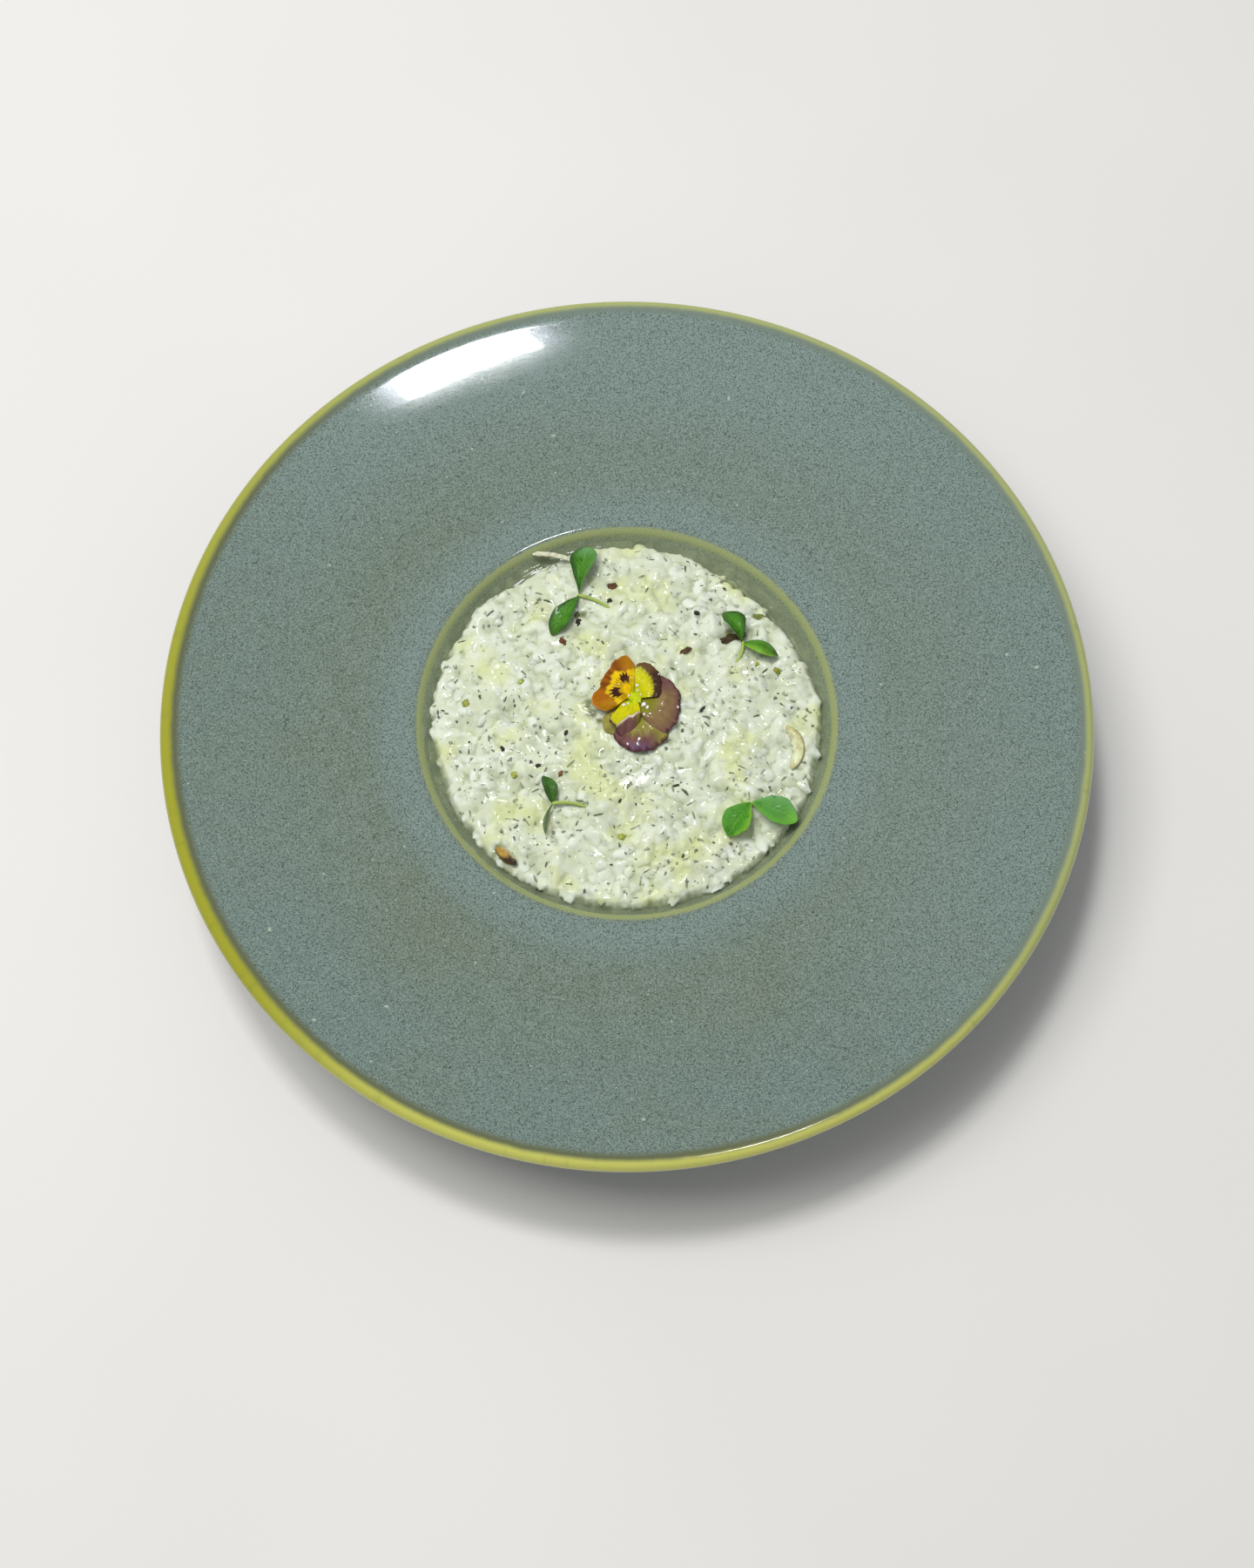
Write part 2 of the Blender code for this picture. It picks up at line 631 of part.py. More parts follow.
def keep_largest_body(obj):
    """Drops loose scraps that the union left."""
    bm = bmesh.new()
    bm.from_mesh(obj.data)
    left, bodies = set(bm.verts), []
    while left:
        body, edge = set(), [left.pop()]
        while edge:
            vertex = edge.pop()
            body.add(vertex)
            near = {e.other_vert(vertex) for e in vertex.link_edges} & left
            left -= near
            edge.extend(near)
        bodies.append(body)
    bodies.sort(key=len)
    for body in bodies[:-1]:
        bmesh.ops.delete(bm, geom=list(body), context="VERTS")
    bm.to_mesh(obj.data)
    bm.free()


def main():
    clear_scene()
    draw = random.Random(SEED)
    plate = build_plate()
    core = build_core()
    supports = [tree_of(core), tree_of(plate)]
    leaf = material("leaf", (0.10, 0.30, 0.04), 0.35)
    toppings = [build_sprig(name, plan, supports, leaf) for name, plan in SPRIGS.items()]
    toppings.append(build_viola(supports))
    toppings += build_mushrooms(supports)
    toppings.append(build_shred(supports))
    blockers = [tree_of(obj)[0] for obj in [plate, *toppings]]
    fuse(core, build_grains(draw, supports[0][0], blockers), solver="MANIFOLD")
    keep_largest_body(core)


main()
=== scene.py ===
import math
import random

import bmesh
import bpy
import numpy as np
from mathutils import Euler, Matrix, Vector, noise
from mathutils.bvhtree import BVHTree


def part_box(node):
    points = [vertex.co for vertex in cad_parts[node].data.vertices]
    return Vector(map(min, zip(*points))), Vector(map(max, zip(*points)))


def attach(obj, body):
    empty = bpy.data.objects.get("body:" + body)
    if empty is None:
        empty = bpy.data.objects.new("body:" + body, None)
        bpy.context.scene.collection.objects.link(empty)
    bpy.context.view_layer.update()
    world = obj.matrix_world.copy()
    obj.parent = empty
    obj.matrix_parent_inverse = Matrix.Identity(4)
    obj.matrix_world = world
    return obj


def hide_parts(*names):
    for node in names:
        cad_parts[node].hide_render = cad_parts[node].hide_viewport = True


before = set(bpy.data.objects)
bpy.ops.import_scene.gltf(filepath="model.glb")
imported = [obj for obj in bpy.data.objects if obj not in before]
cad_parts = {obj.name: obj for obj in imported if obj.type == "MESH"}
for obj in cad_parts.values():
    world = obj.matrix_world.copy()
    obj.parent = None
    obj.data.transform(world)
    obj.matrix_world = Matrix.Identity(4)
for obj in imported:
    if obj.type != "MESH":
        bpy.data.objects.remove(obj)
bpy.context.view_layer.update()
mm = 0.001


# small helpers used by every piece

def paint(red, green, blue):
    # display colour, 0 to 255, to the shader's linear colour
    shares = [c / 255 for c in (red, green, blue)]
    return (*[s / 12.92 if s < 0.04045 else ((s + 0.055) / 1.055) ** 2.4 for s in shares], 1.0)


def evenTint(colour, shape):
    # one colour over a whole grid of points
    return np.ones((*shape, 4)) * np.asarray(colour)


def mixTint(tint, colour, share):
    # the grid's colours moved towards another by each point's share
    return tint + (np.asarray(colour) - tint) * np.clip(share, 0, 1)[..., None]


def smooth(value, low, high):
    share = np.clip((value - low) / (high - low), 0, 1)
    return share * share * (3 - 2 * share)


def place(name, mesh, material=None):
    obj = bpy.data.objects.new(name, mesh)
    bpy.context.scene.collection.objects.link(obj)
    if material:
        mesh.materials.clear()
        mesh.materials.append(material)
    return obj


def meshFrom(name, verts, faces, rounded=True):
    mesh = bpy.data.meshes.new(name)
    mesh.from_pydata([tuple(v) for v in verts], [], faces)
    if rounded:
        mesh.shade_smooth()
    return mesh


def floats(mesh, name, values):
    layer = mesh.attributes.new(name, "FLOAT", "POINT")
    layer.data.foreach_set("value", np.asarray(values, np.float32).ravel())


def colours(mesh, name, values):
    layer = mesh.attributes.new(name, "FLOAT_COLOR", "POINT")
    layer.data.foreach_set("color", np.asarray(values, np.float32).ravel())


def evaluated(obj):
    # the object's mesh with its modifiers worked in
    bpy.context.view_layer.update()
    mesh = bpy.data.meshes.new_from_object(obj.evaluated_get(bpy.context.evaluated_depsgraph_get()))
    obj.modifiers.clear()
    old = obj.data
    obj.data = mesh
    bpy.data.meshes.remove(old)
    return obj


def outward(mesh):
    bm = bmesh.new()
    bm.from_mesh(mesh)
    bmesh.ops.remove_doubles(bm, verts=bm.verts, dist=0.002 * mm)
    bmesh.ops.recalc_face_normals(bm, faces=bm.faces)
    bm.to_mesh(mesh)
    bm.free()


def finishPiece(obj, slot, *nodes):
    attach(obj, "root")
    if nodes:
        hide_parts(*nodes)
    return obj


class Wires:
    # adds nodes to a tree and joins them in one call
    def __init__(self, tree):
        self.tree = tree

    def add(self, kind, plugs=None, **settings):
        node = self.tree.nodes.new(kind)
        for key, value in settings.items():
            setattr(node, key, value)
        for key, value in (plugs or {}).items():
            if isinstance(value, bpy.types.NodeSocket):
                self.tree.links.new(value, node.inputs[key])
            else:
                node.inputs[key].default_value = value
        return node

    def calc(self, operation, a, b=None, clamp=False):
        plugs = {0: a} if b is None else {0: a, 1: b}
        return self.add("ShaderNodeMath", plugs, operation=operation, use_clamp=clamp).outputs[0]

    def plus(self, a, b, clamp=False):
        return self.calc("ADD", a, b, clamp)

    def minus(self, a, b):
        return self.calc("SUBTRACT", a, b)

    def times(self, a, b):
        return self.calc("MULTIPLY", a, b)

    def span(self, value, low, high, outLow=0.0, outHigh=1.0):
        plugs = {"Value": value, "From Min": low, "From Max": high, "To Min": outLow, "To Max": outHigh}
        return self.add("ShaderNodeMapRange", plugs, interpolation_type="SMOOTHSTEP").outputs["Result"]

    def mix(self, share, a, b, blend="MIX"):
        plugs = {0: share, 6: a, 7: b}
        return self.add("ShaderNodeMix", plugs, data_type="RGBA", blend_type=blend).outputs[2]

    def grit(self, vector, scale, detail=2.0, roughness=0.5, distortion=0.0):
        plugs = {"Vector": vector, "Scale": scale, "Detail": detail, "Roughness": roughness,
                 "Distortion": distortion}
        return self.add("ShaderNodeTexNoise", plugs).outputs["Fac"]

    def read(self, name):
        return self.add("ShaderNodeAttribute", attribute_name=name)

    def spot(self):
        return self.add("ShaderNodeTexCoord").outputs["Object"]

    def bump(self, height, distance, strength):
        plugs = {"Height": height, "Distance": distance, "Strength": strength}
        return self.add("ShaderNodeBump", plugs).outputs["Normal"]


def newFinish(name, **sockets):
    # a material with one Principled shader; values are set on its own sockets
    material = bpy.data.materials.new(name)
    material.use_nodes = True
    wires = Wires(material.node_tree)
    shader = material.node_tree.nodes["Principled BSDF"]
    for key, value in sockets.items():
        shader.inputs[key.replace("_", " ")].default_value = value
    return material, wires, shader


def feed(wires, shader, **links):
    for key, value in links.items():
        wires.tree.links.new(value, shader.inputs[key.replace("_", " ")])


def startTree(name, inputs):
    # a geometry node tree with named inputs, as name: (socket kind, value)
    tree = bpy.data.node_groups.new(name, "GeometryNodeTree")
    tree.interface.new_socket("Geometry", in_out="INPUT", socket_type="NodeSocketGeometry")
    for label, (kind, value) in inputs.items():
        socket = tree.interface.new_socket(label, in_out="INPUT", socket_type="NodeSocket" + kind)
        if value is not None:
            socket.default_value = value
    tree.interface.new_socket("Geometry", in_out="OUTPUT", socket_type="NodeSocketGeometry")
    wires = Wires(tree)
    return wires, wires.add("NodeGroupInput").outputs, wires.add("NodeGroupOutput")


def runTree(name, base, wires, values):
    # gives base the tree, sets its inputs and keeps the result as a plain mesh
    modifier = base.modifiers.new("shape", "NODES")
    modifier.node_group = wires.tree
    for item in wires.tree.interface.items_tree:
        if item.in_out == "INPUT" and item.name in values:
            modifier[item.identifier] = values[item.name]
    base.update_tag()
    evaluated(base)
    base.name = base.data.name = name
    return base


# the plate: turned ware with a reactive glaze

plateSize = dict(
    radius=139.88 * mm, height=43.94 * mm, lip=2.4 * mm, brimThick=4.7 * mm,
    slopeAtWell=4.0, slopeAtLip=12.2,
    shoulder=4 * mm, shoulderRadius=65.4 * mm,
    wallSlope=60.0, wallThick=5 * mm, floor=7 * mm, fillet=16 * mm, underFillet=7 * mm,
    footRadius=46 * mm, footWidth=4 * mm, footHeight=2.5 * mm,
    segments=240, unevenness=0.05 * mm,
)


def polar(centre, radius, degrees):
    angle = math.radians(degrees)
    return centre[0] + radius * math.cos(angle), centre[1] + radius * math.sin(angle)


def arc(centre, radius, start, end, steps):
    return [polar(centre, radius, start + (end - start) * i / steps) for i in range(steps + 1)]


def brimHeight(r):
    p = plateSize
    lipCentre = (p["radius"] - p["lip"], p["height"] - p["lip"])
    outer, top = polar(lipCentre, p["lip"], 90 + p["slopeAtLip"])
    low, high = math.tan(math.radians(p["slopeAtWell"])), math.tan(math.radians(p["slopeAtLip"]))
    span, run = outer - p["shoulderRadius"], r - p["shoulderRadius"]
    bend = (high - low) / span
    return top - low * span - bend * span**2 / 2 + low * run + bend * run**2 / 2


def shoulderCentre():
    p = plateSize
    tilt = math.radians(p["slopeAtWell"])
    edge = p["shoulderRadius"] - p["shoulder"] * math.sin(tilt)
    return p["shoulderRadius"], brimHeight(edge) - p["shoulder"] * math.cos(tilt)


def wallRadius(z):
    # inner radius of the well's sloping wall
    topR, topZ = polar(shoulderCentre(), plateSize["shoulder"], 90 + plateSize["wallSlope"])
    return topR - (topZ - z) / math.tan(math.radians(plateSize["wallSlope"]))


def filletCentre():
    p = plateSize
    tilt = math.radians(p["wallSlope"])
    z = p["floor"] + p["fillet"]
    return wallRadius(z - p["fillet"] * math.cos(tilt)) - p["fillet"] * math.sin(tilt), z


def plateSection():
    # half section: well, shoulder, brim, lip, underside and foot
    p = plateSize
    fillet, shoulder = filletCentre(), shoulderCentre()
    lipCentre = (p["radius"] - p["lip"], p["height"] - p["lip"])
    points = [(0.0, p["floor"])]
    points += arc(fillet, p["fillet"], -90, -90 + p["wallSlope"], 8)
    points += arc(shoulder, p["shoulder"], 90 + p["wallSlope"], 90 + p["slopeAtWell"], 14)
    span, steps = lipCentre[0] - p["shoulderRadius"], 22
    brim = [p["shoulderRadius"] + span * (i + 0.5) / steps for i in range(steps)]
    points += [(r, brimHeight(r)) for r in brim[:-1]]
    points += arc(lipCentre, p["lip"], 90 + p["slopeAtLip"], -75, 20)
    points += [(r, brimHeight(r) - p["brimThick"]) for r in reversed(brim[3:-1:2])]
    wallTop = wallRadius(brimHeight(p["shoulderRadius"])) + p["wallThick"]
    under = (wallTop + p["underFillet"], brimHeight(p["shoulderRadius"]) - p["brimThick"] - p["underFillet"])
    points += arc(under, p["underFillet"], 90 + p["slopeAtWell"], 90 + p["wallSlope"], 6)
    outer = p["fillet"] + p["wallThick"]
    footAngle = -math.degrees(math.acos((p["footRadius"] - fillet[0]) / outer))
    points += arc(fillet, outer, -90 + p["wallSlope"], footAngle, 8)
    bevel, inner = p["footHeight"] / 4, p["footRadius"] - p["footWidth"]
    points += [(p["footRadius"], bevel), (p["footRadius"] - bevel, 0.0), (inner + bevel, 0.0), (inner, bevel)]
    points += [(inner - bevel, p["footHeight"]), (0.0, p["footHeight"])]
    return points


def turnedWareTree(material):
    # turns the section held by the incoming vertices about Z
    wires, given, out = startTree("turned ware", {"Segments": ("Int", 64), "Unevenness": ("Float", 0.0)})
    section = given["Geometry"]
    count = wires.add("GeometryNodeAttributeDomainSize", {0: section}, component="MESH")
    count = count.outputs["Point Count"]
    across = wires.plus(given["Segments"], 1)
    grid = wires.add("GeometryNodeMeshGrid", {
        "Size X": 1, "Size Y": 1, "Vertices X": across, "Vertices Y": count})
    index = wires.add("GeometryNodeInputIndex").outputs[0]
    row = wires.calc("MODULO", index, count)
    turn = wires.calc("FLOOR", wires.calc("DIVIDE", wires.plus(index, 0.5), count))
    position = wires.add("GeometryNodeInputPosition").outputs[0]
    sample = wires.add("GeometryNodeSampleIndex", {0: section, "Value": position, "Index": row},
                       data_type="FLOAT_VECTOR", domain="POINT")
    parts = wires.add("ShaderNodeSeparateXYZ", {0: sample.outputs[0]}).outputs
    angle = wires.times(turn, wires.calc("DIVIDE", math.tau, given["Segments"]))
    x = wires.times(parts["X"], wires.calc("COSINE", angle))
    y = wires.times(parts["X"], wires.calc("SINE", angle))
    heading = wires.add("ShaderNodeCombineXYZ", {"X": x, "Y": y, "Z": parts["Z"]}).outputs[0]
    drift = wires.minus(wires.grit(heading, 22.0, 1.0), 0.5)
    rise = wires.times(wires.times(drift, given["Unevenness"]),
                      wires.span(parts["Z"], 0.020, 0.034, 0.0, 1.0))
    spot = wires.add("ShaderNodeCombineXYZ", {"X": x, "Y": y, "Z": wires.plus(parts["Z"], rise)})
    moved = wires.add("GeometryNodeSetPosition", {"Geometry": grid.outputs[0], "Position": spot.outputs[0]})
    closed = wires.add("GeometryNodeMergeByDistance", {0: moved.outputs[0], "Distance": 0.005 * mm})
    rounded = wires.add("GeometryNodeSetShadeSmooth", {0: closed.outputs[0]})
    whole = wires.add("GeometryNodeRealizeInstances", {0: rounded.outputs[0]})
    clad = wires.add("GeometryNodeSetMaterial", {"Geometry": whole.outputs[0], "Material": material})
    wires.tree.links.new(clad.outputs[0], out.inputs[0])
    return wires


glazeLook = dict(
    body=paint(113, 128, 114), pale=paint(122, 137, 126), cloud=paint(116, 135, 131),
    # the bluish tint is the glaze's own near the ring, and it also paints the sky reflection and the light on
    # the brim
    warm=paint(116, 126, 108), sky=paint(128, 147, 143),
    speckle=paint(58, 72, 58), glint=paint(144, 158, 146), pinpoint=paint(160, 172, 158),
    well=paint(138, 150, 120), ring=paint(150, 160, 104), edgeDark=paint(90, 94, 58),
    olive=paint(166, 174, 108), oliveBright=paint(154, 155, 38), paintedLipHighlight=paint(204, 204, 106),
    foot=paint(168, 158, 142),
    ringRadius=63.0 * mm, lipStart=0.978,
    speckleScale=2500.0, speckleDepth=0.05 * mm, gloss=0.01,
)


def reactiveGlaze():
    g, size = glazeLook, plateSize["radius"]
    material, w, shader = newFinish("reactive glaze", Specular_IOR_Level=0.5, Coat_Weight=0.3,
                                    Coat_Roughness=0.01)
    spot = w.spot()
    parts = w.add("ShaderNodeSeparateXYZ", {0: spot}).outputs
    flatSpot = w.add("ShaderNodeCombineXYZ", {"X": parts["X"], "Y": parts["Y"]}).outputs[0]
    reach = w.add("ShaderNodeVectorMath", {0: flatSpot}, operation="LENGTH").outputs["Value"]
    heading = w.add("ShaderNodeVectorMath", {0: flatSpot}, operation="NORMALIZE").outputs[0]
    share = w.calc("DIVIDE", reach, size)
    # 1 on the left and front of the plate, 0 on the right and back
    side = w.add("ShaderNodeVectorMath", {0: heading, 1: (-0.80, -0.60, 0)}, operation="DOT_PRODUCT")
    left = w.span(side.outputs["Value"], -0.7, 1.0)
    runs = w.grit(heading, 26.0, 3.0, 0.6)
    # fine dark worm-like speckle and paler crystals between
    worms = w.calc("ABSOLUTE", w.minus(w.grit(spot, g["speckleScale"], 1.0, 0.5, 0.3), 0.5))
    thin = w.span(worms, 0.01, 0.10, 1.0, 0.0)
    patches = w.span(w.grit(spot, 1600.0, 2.0, 0.6), 0.38, 0.60)
    dots = w.span(w.grit(spot, 2000.0, 1.0, 0.5), 0.53, 0.67)
    speckle = w.calc("MAXIMUM", w.times(thin, patches), dots)
    crystals = w.span(w.grit(spot, 2100.0, 2.0, 0.6), 0.50, 0.66)
    # the glaze's colour from the well to the lip
    cloudy = w.grit(spot, 34.0, 4.0, 0.62)
    fine = w.grit(spot, 210.0, 3.0, 0.6)
    body = w.mix(w.span(fine, 0.36, 0.66), g["pale"], g["body"])
    body = w.mix(w.times(w.span(w.grit(spot, 22.0, 3.0, 0.6), 0.48, 0.70), 0.55), body, g["warm"])
    nearLip = w.times(w.span(share, 0.62, 0.88), w.span(share, 0.955, 0.985, 1.0, 0.0))
    nearRing = w.times(w.span(share, 0.455, 0.475), w.span(share, 0.49, 0.58, 1.0, 0.0))
    bluish = w.times(w.plus(nearLip, nearRing, clamp=True), w.span(cloudy, 0.25, 0.60, 0.35, 1.0))
    body = w.mix(bluish, body, g["cloud"])
    # painted reflection: the back of the brim near the lip turns paler and bluer, as the sky reflects there
    behind = w.add("ShaderNodeVectorMath", {0: heading, 1: (-0.10, 0.995, 0)}, operation="DOT_PRODUCT")
    paintedSkyReflection = w.times(w.span(behind.outputs["Value"], 0.25, 0.95), nearLip)
    body = w.mix(w.times(paintedSkyReflection, 0.85), body, g["sky"])
    body = w.mix(w.times(nearRing, 0.75), body, g["sky"])
    # painted light: the right and back of the brim are made paler and bluer
    body = w.mix(w.times(w.span(left, 0.0, 0.55, 1.0, 0.0), 0.45), body, g["sky"])
    body = w.mix(w.span(share, 0.442, 0.450, 1.0, 0.0), body, g["well"])
    smoothEdge = w.span(share, 0.962, 0.976, 1.0, 0.08)
    body = w.mix(w.times(w.times(crystals, smoothEdge), 0.8), body, g["glint"])
    speckled = w.times(w.times(speckle, smoothEdge), w.span(share, 0.436, 0.446, 0.45, 0.78))
    body = w.mix(speckled, body, g["speckle"])
    body = w.mix(w.span(w.grit(spot, 420.0, 0.0), 0.868, 0.885), body, g["pinpoint"])
    # olive line where the glaze runs thin over the well's edge
    offRing = w.calc("ABSOLUTE", w.minus(reach, g["ringRadius"]))
    wavy = w.plus(offRing, w.times(w.minus(runs, 0.5), 0.7 * mm))
    onRing = w.span(wavy, 0.5 * mm, 1.5 * mm, 1.0, 0.0)
    ringColour = w.mix(w.times(speckle, 0.12), g["ring"], g["edgeDark"])
    body = w.mix(w.times(onRing, 0.9), body, ringColour)
    # dark transition, then the olive lip, wider on the left and front
    drip = w.times(w.minus(runs, 0.5), 0.006)
    front = w.add("ShaderNodeVectorMath", {0: heading, 1: (0.10, -0.995, 0)}, operation="DOT_PRODUCT")
    front = w.span(front.outputs["Value"], 0.50, 0.98)
    widen = w.minus(w.times(left, 0.007), w.times(front, 0.006))
    along = w.plus(w.plus(share, drip), widen)
    start = g["lipStart"]
    shadowy = w.times(w.span(along, start - 0.020, start - 0.004), w.span(left, 0.0, 0.8, 0.30, 0.85))
    body = w.mix(shadowy, body, g["edgeDark"])
    lip = w.mix(left, g["olive"], g["oliveBright"])
    # painted highlight: the front of the lip is made paler and brighter
    lip = w.mix(w.times(front, 0.75), lip, g["paintedLipHighlight"])
    lip = w.mix(w.times(w.span(runs, 0.55, 0.75), 0.22), lip, g["edgeDark"])
    body = w.mix(w.span(along, start - 0.004, start + 0.010), body, lip)
    # painted shade: the glaze below the lip, on its outer side and underside, is darkened
    under = w.span(parts["Z"], brimHeight(size) - 6.2 * mm, brimHeight(size) - 4.2 * mm, 1.0, 0.0)
    paintedUnderShade = w.times(under, w.span(share, 0.93, 0.95))
    body = w.mix(paintedUnderShade, body, g["edgeDark"])
    body = w.mix(w.span(parts["Z"], 0.5 * mm, 1.0 * mm, 1.0, 0.0), body, g["foot"])
    rough = w.span(speckle, 0.0, 1.0, g["gloss"], 0.02)
    rough = w.calc("MAXIMUM", rough, w.span(parts["Z"], 0.5 * mm, 1.0 * mm, 0.85, 0.0))
    height = w.minus(w.times(w.grit(spot, 90.0, 1.0), 0.9), w.times(speckle, 0.22))
    feed(w, shader, Base_Color=body, Roughness=rough, Normal=w.bump(height, g["speckleDepth"], 0.05))
    return material


def buildPlate():
    section = plateSection()
    mesh = bpy.data.meshes.new("section")
    mesh.from_pydata([(r, 0.0, z) for r, z in section], [(i, i + 1) for i in range(len(section) - 1)], [])
    base = place("section", mesh)
    wires = turnedWareTree(reactiveGlaze())
    plate = runTree("bowlPlate", base, wires,
                    {"Segments": plateSize["segments"], "Unevenness": plateSize["unevenness"]})
    outward(plate.data)
    plate.data.shade_smooth()
    return finishPiece(plate, "glaze", "plate")


buildPlate()
print("plate turned")


# what lies on the rice, in millimetres and degrees, so that the rice can leave room for it

sprigs = {
    # stem: heading and length; leaves: heading, length, width, belly, arch, cup, roll and the colour set that
    # paints its light and shade
    "sprig_back_left": dict(
        joint=(-14.8, 40.0), stem=(-24, 12.0),
        leaves=[(81, 17.0, 8.2, 0.70, 2.2, 1.4, -12, "shaded"),
                (238, 15.8, 6.6, 0.62, 1.2, 1.0, 14, "deep")]),
    "sprig_back_right": dict(
        joint=(35.4, 24.1), stem=(-112, 7.0),
        leaves=[(118, 11.8, 6.8, 0.62, 2.4, 1.6, 16, "deep"),
                (-22, 11.6, 7.0, 0.55, 2.4, -1.4, -34, "halved")]),
    "sprig_front_left": dict(
        joint=(-22.2, -28.4), stem=(-4, 11.0),
        leaves=[(109, 9.4, 4.6, 0.50, 1.4, 1.0, 22, "dark"),
                (258, 9.8, 3.6, 0.60, 1.0, 0.4, 78, "dusty")]),
    "sprig_front_right": dict(
        joint=(37.3, -27.4), stem=(158, 3.4),
        leaves=[(236, 13.0, 8.8, 0.62, 1.6, 1.2, 8, "fresh"),
                (-24, 15.0, 8.8, 0.58, 1.4, 1.2, -6, "pale")]),
}
flower = dict(throat=(1.8, 5.8), reach=13.5)
mushrooms = {
    # crescents round a centre; bed is how far the slice sinks below its solid
    "mushroom_right": dict(
        spot=(46.2, -9.9), radius=7.6, width=3.9, sweep=136, thick=1.3, turn=(3, 0, 6),
        rim=(180, 174, 116), flesh=(224, 227, 180), inner=(218, 226, 198), end=(196, 190, 130), bed=-0.25,
        fade=(0.62, 0.92)),
    "mushroom_front": dict(
        spot=(-32.4, -40.0), radius=7.0, width=3.6, sweep=84, thick=1.69, turn=(10, 6, 226),
        rim=(84, 58, 22), flesh=(186, 150, 62), inner=(214, 208, 160), end=(58, 38, 18), bed=0.6,
        fade=(0.40, 0.72)),
}


def camelName(node, kind):
    first, *rest = node.split("_") + [kind]
    return first + "".join(word.title() for word in rest)


def heading(degrees):
    return Vector((math.cos(math.radians(degrees)), math.sin(math.radians(degrees)), 0))


def coveredSpots():
    # circles that the toppings cover: x, y and radius in millimetres
    x, y = flower["throat"]
    yield x + 0.6, y - 1.2, flower["reach"]
    for plan in sprigs.values():
        for leaf in plan["leaves"]:
            for share in (0.35, 0.72):
                spot = Vector((*plan["joint"], 0)) + heading(leaf[0]) * leaf[1] * share
                yield spot.x, spot.y, leaf[2] * 0.36
    for plan in mushrooms.values():
        for share in (-0.38, -0.13, 0.13, 0.38):
            aim = heading(plan["turn"][2] + share * plan["sweep"])
            spot = Vector((*plan["spot"], 0)) + aim * (plan["radius"] - plan["width"] / 2)
            yield spot.x, spot.y, 2.4


covered = list(coveredSpots())


def coverAt(x, y):
    # 1 where a topping lies over the rice, 0 elsewhere
    cover = np.zeros(np.shape(x))
    for cx, cy, radius in covered:
        off = np.hypot(np.asarray(x) / mm - cx, np.asarray(y) / mm - cy)
        cover = np.maximum(cover, 1 - smooth(off, radius - 1.5, radius + 1.5))
    return cover


# the risotto: a soft core that carries the relief of the sunk grains

riceShape = dict(
    edge=59.2 * mm, edgeHeight=30.2 * mm, dome=3.2 * mm, lump=0.8 * mm,
    dentHeading=43.0, step=0.37 * mm, reach=60.6 * mm,
    grains=1150, grainLength=7.8 * mm, grainWidth=4.2 * mm, ragged=0.8 * mm,
    sauceCover=0.58 * mm, softness=1.75 * mm, curdle=0.03 * mm, heave=1.00 * mm,
    pool=(2.6 * mm, -20.6 * mm), poolSize=(6.0 * mm, 2.6 * mm), poolTurn=24.0, poolTilt=(-0.0196, 0.0484),
)


def edgeReach(angle):
    # the rice's outline: nearly round, drawn in at the back right
    fromDent = math.remainder(angle - math.radians(riceShape["dentHeading"]), math.tau)
    swell = -0.045 * math.exp(-((fromDent / 0.45) ** 2))
    swell += 0.006 * math.sin(5 * angle) + 0.006 * math.sin(11 * angle)
    around = Vector((math.cos(angle), math.sin(angle), 0.3))
    rag = noise.noise(around * 9) + 0.7 * noise.noise(around * 23) + 0.9 * noise.noise(around * 41)
    return riceShape["edge"] * (1 + swell) + riceShape["ragged"] * rag


def bedHeight(x, y):
    r = riceShape
    share = min(1.0, math.hypot(x, y) / r["edge"])
    lumps = noise.noise(Vector((x, y, 0)) * 70) + 0.7 * noise.noise(Vector((x, y, mm)) * 150)
    return r["edgeHeight"] + r["dome"] * (1 - share**2.4) + r["lump"] * lumps


def ripple(x, y, cell, seed):
    # smooth random heights from -1 to 1, a bump to about every cell
    table = np.random.default_rng(seed).uniform(-1, 1, (256, 256))
    gx, gy = x / cell + 100.3, y / cell + 100.7
    i, j = np.floor(gx).astype(int), np.floor(gy).astype(int)
    u, v = smooth(gx - i, 0, 1), smooth(gy - j, 0, 1)
    near = table[i % 256, j % 256] * (1 - u) + table[(i + 1) % 256, j % 256] * u
    far = table[i % 256, (j + 1) % 256] * (1 - u) + table[(i + 1) % 256, (j + 1) % 256] * u
    return near * (1 - v) + far * v


def spreadDisc(count, radius):
    golden = math.pi * (3 - math.sqrt(5))
    for i in range(count):
        reach = radius * math.sqrt((i + 0.5) / count)
        yield reach * math.cos(i * golden), reach * math.sin(i * golden)


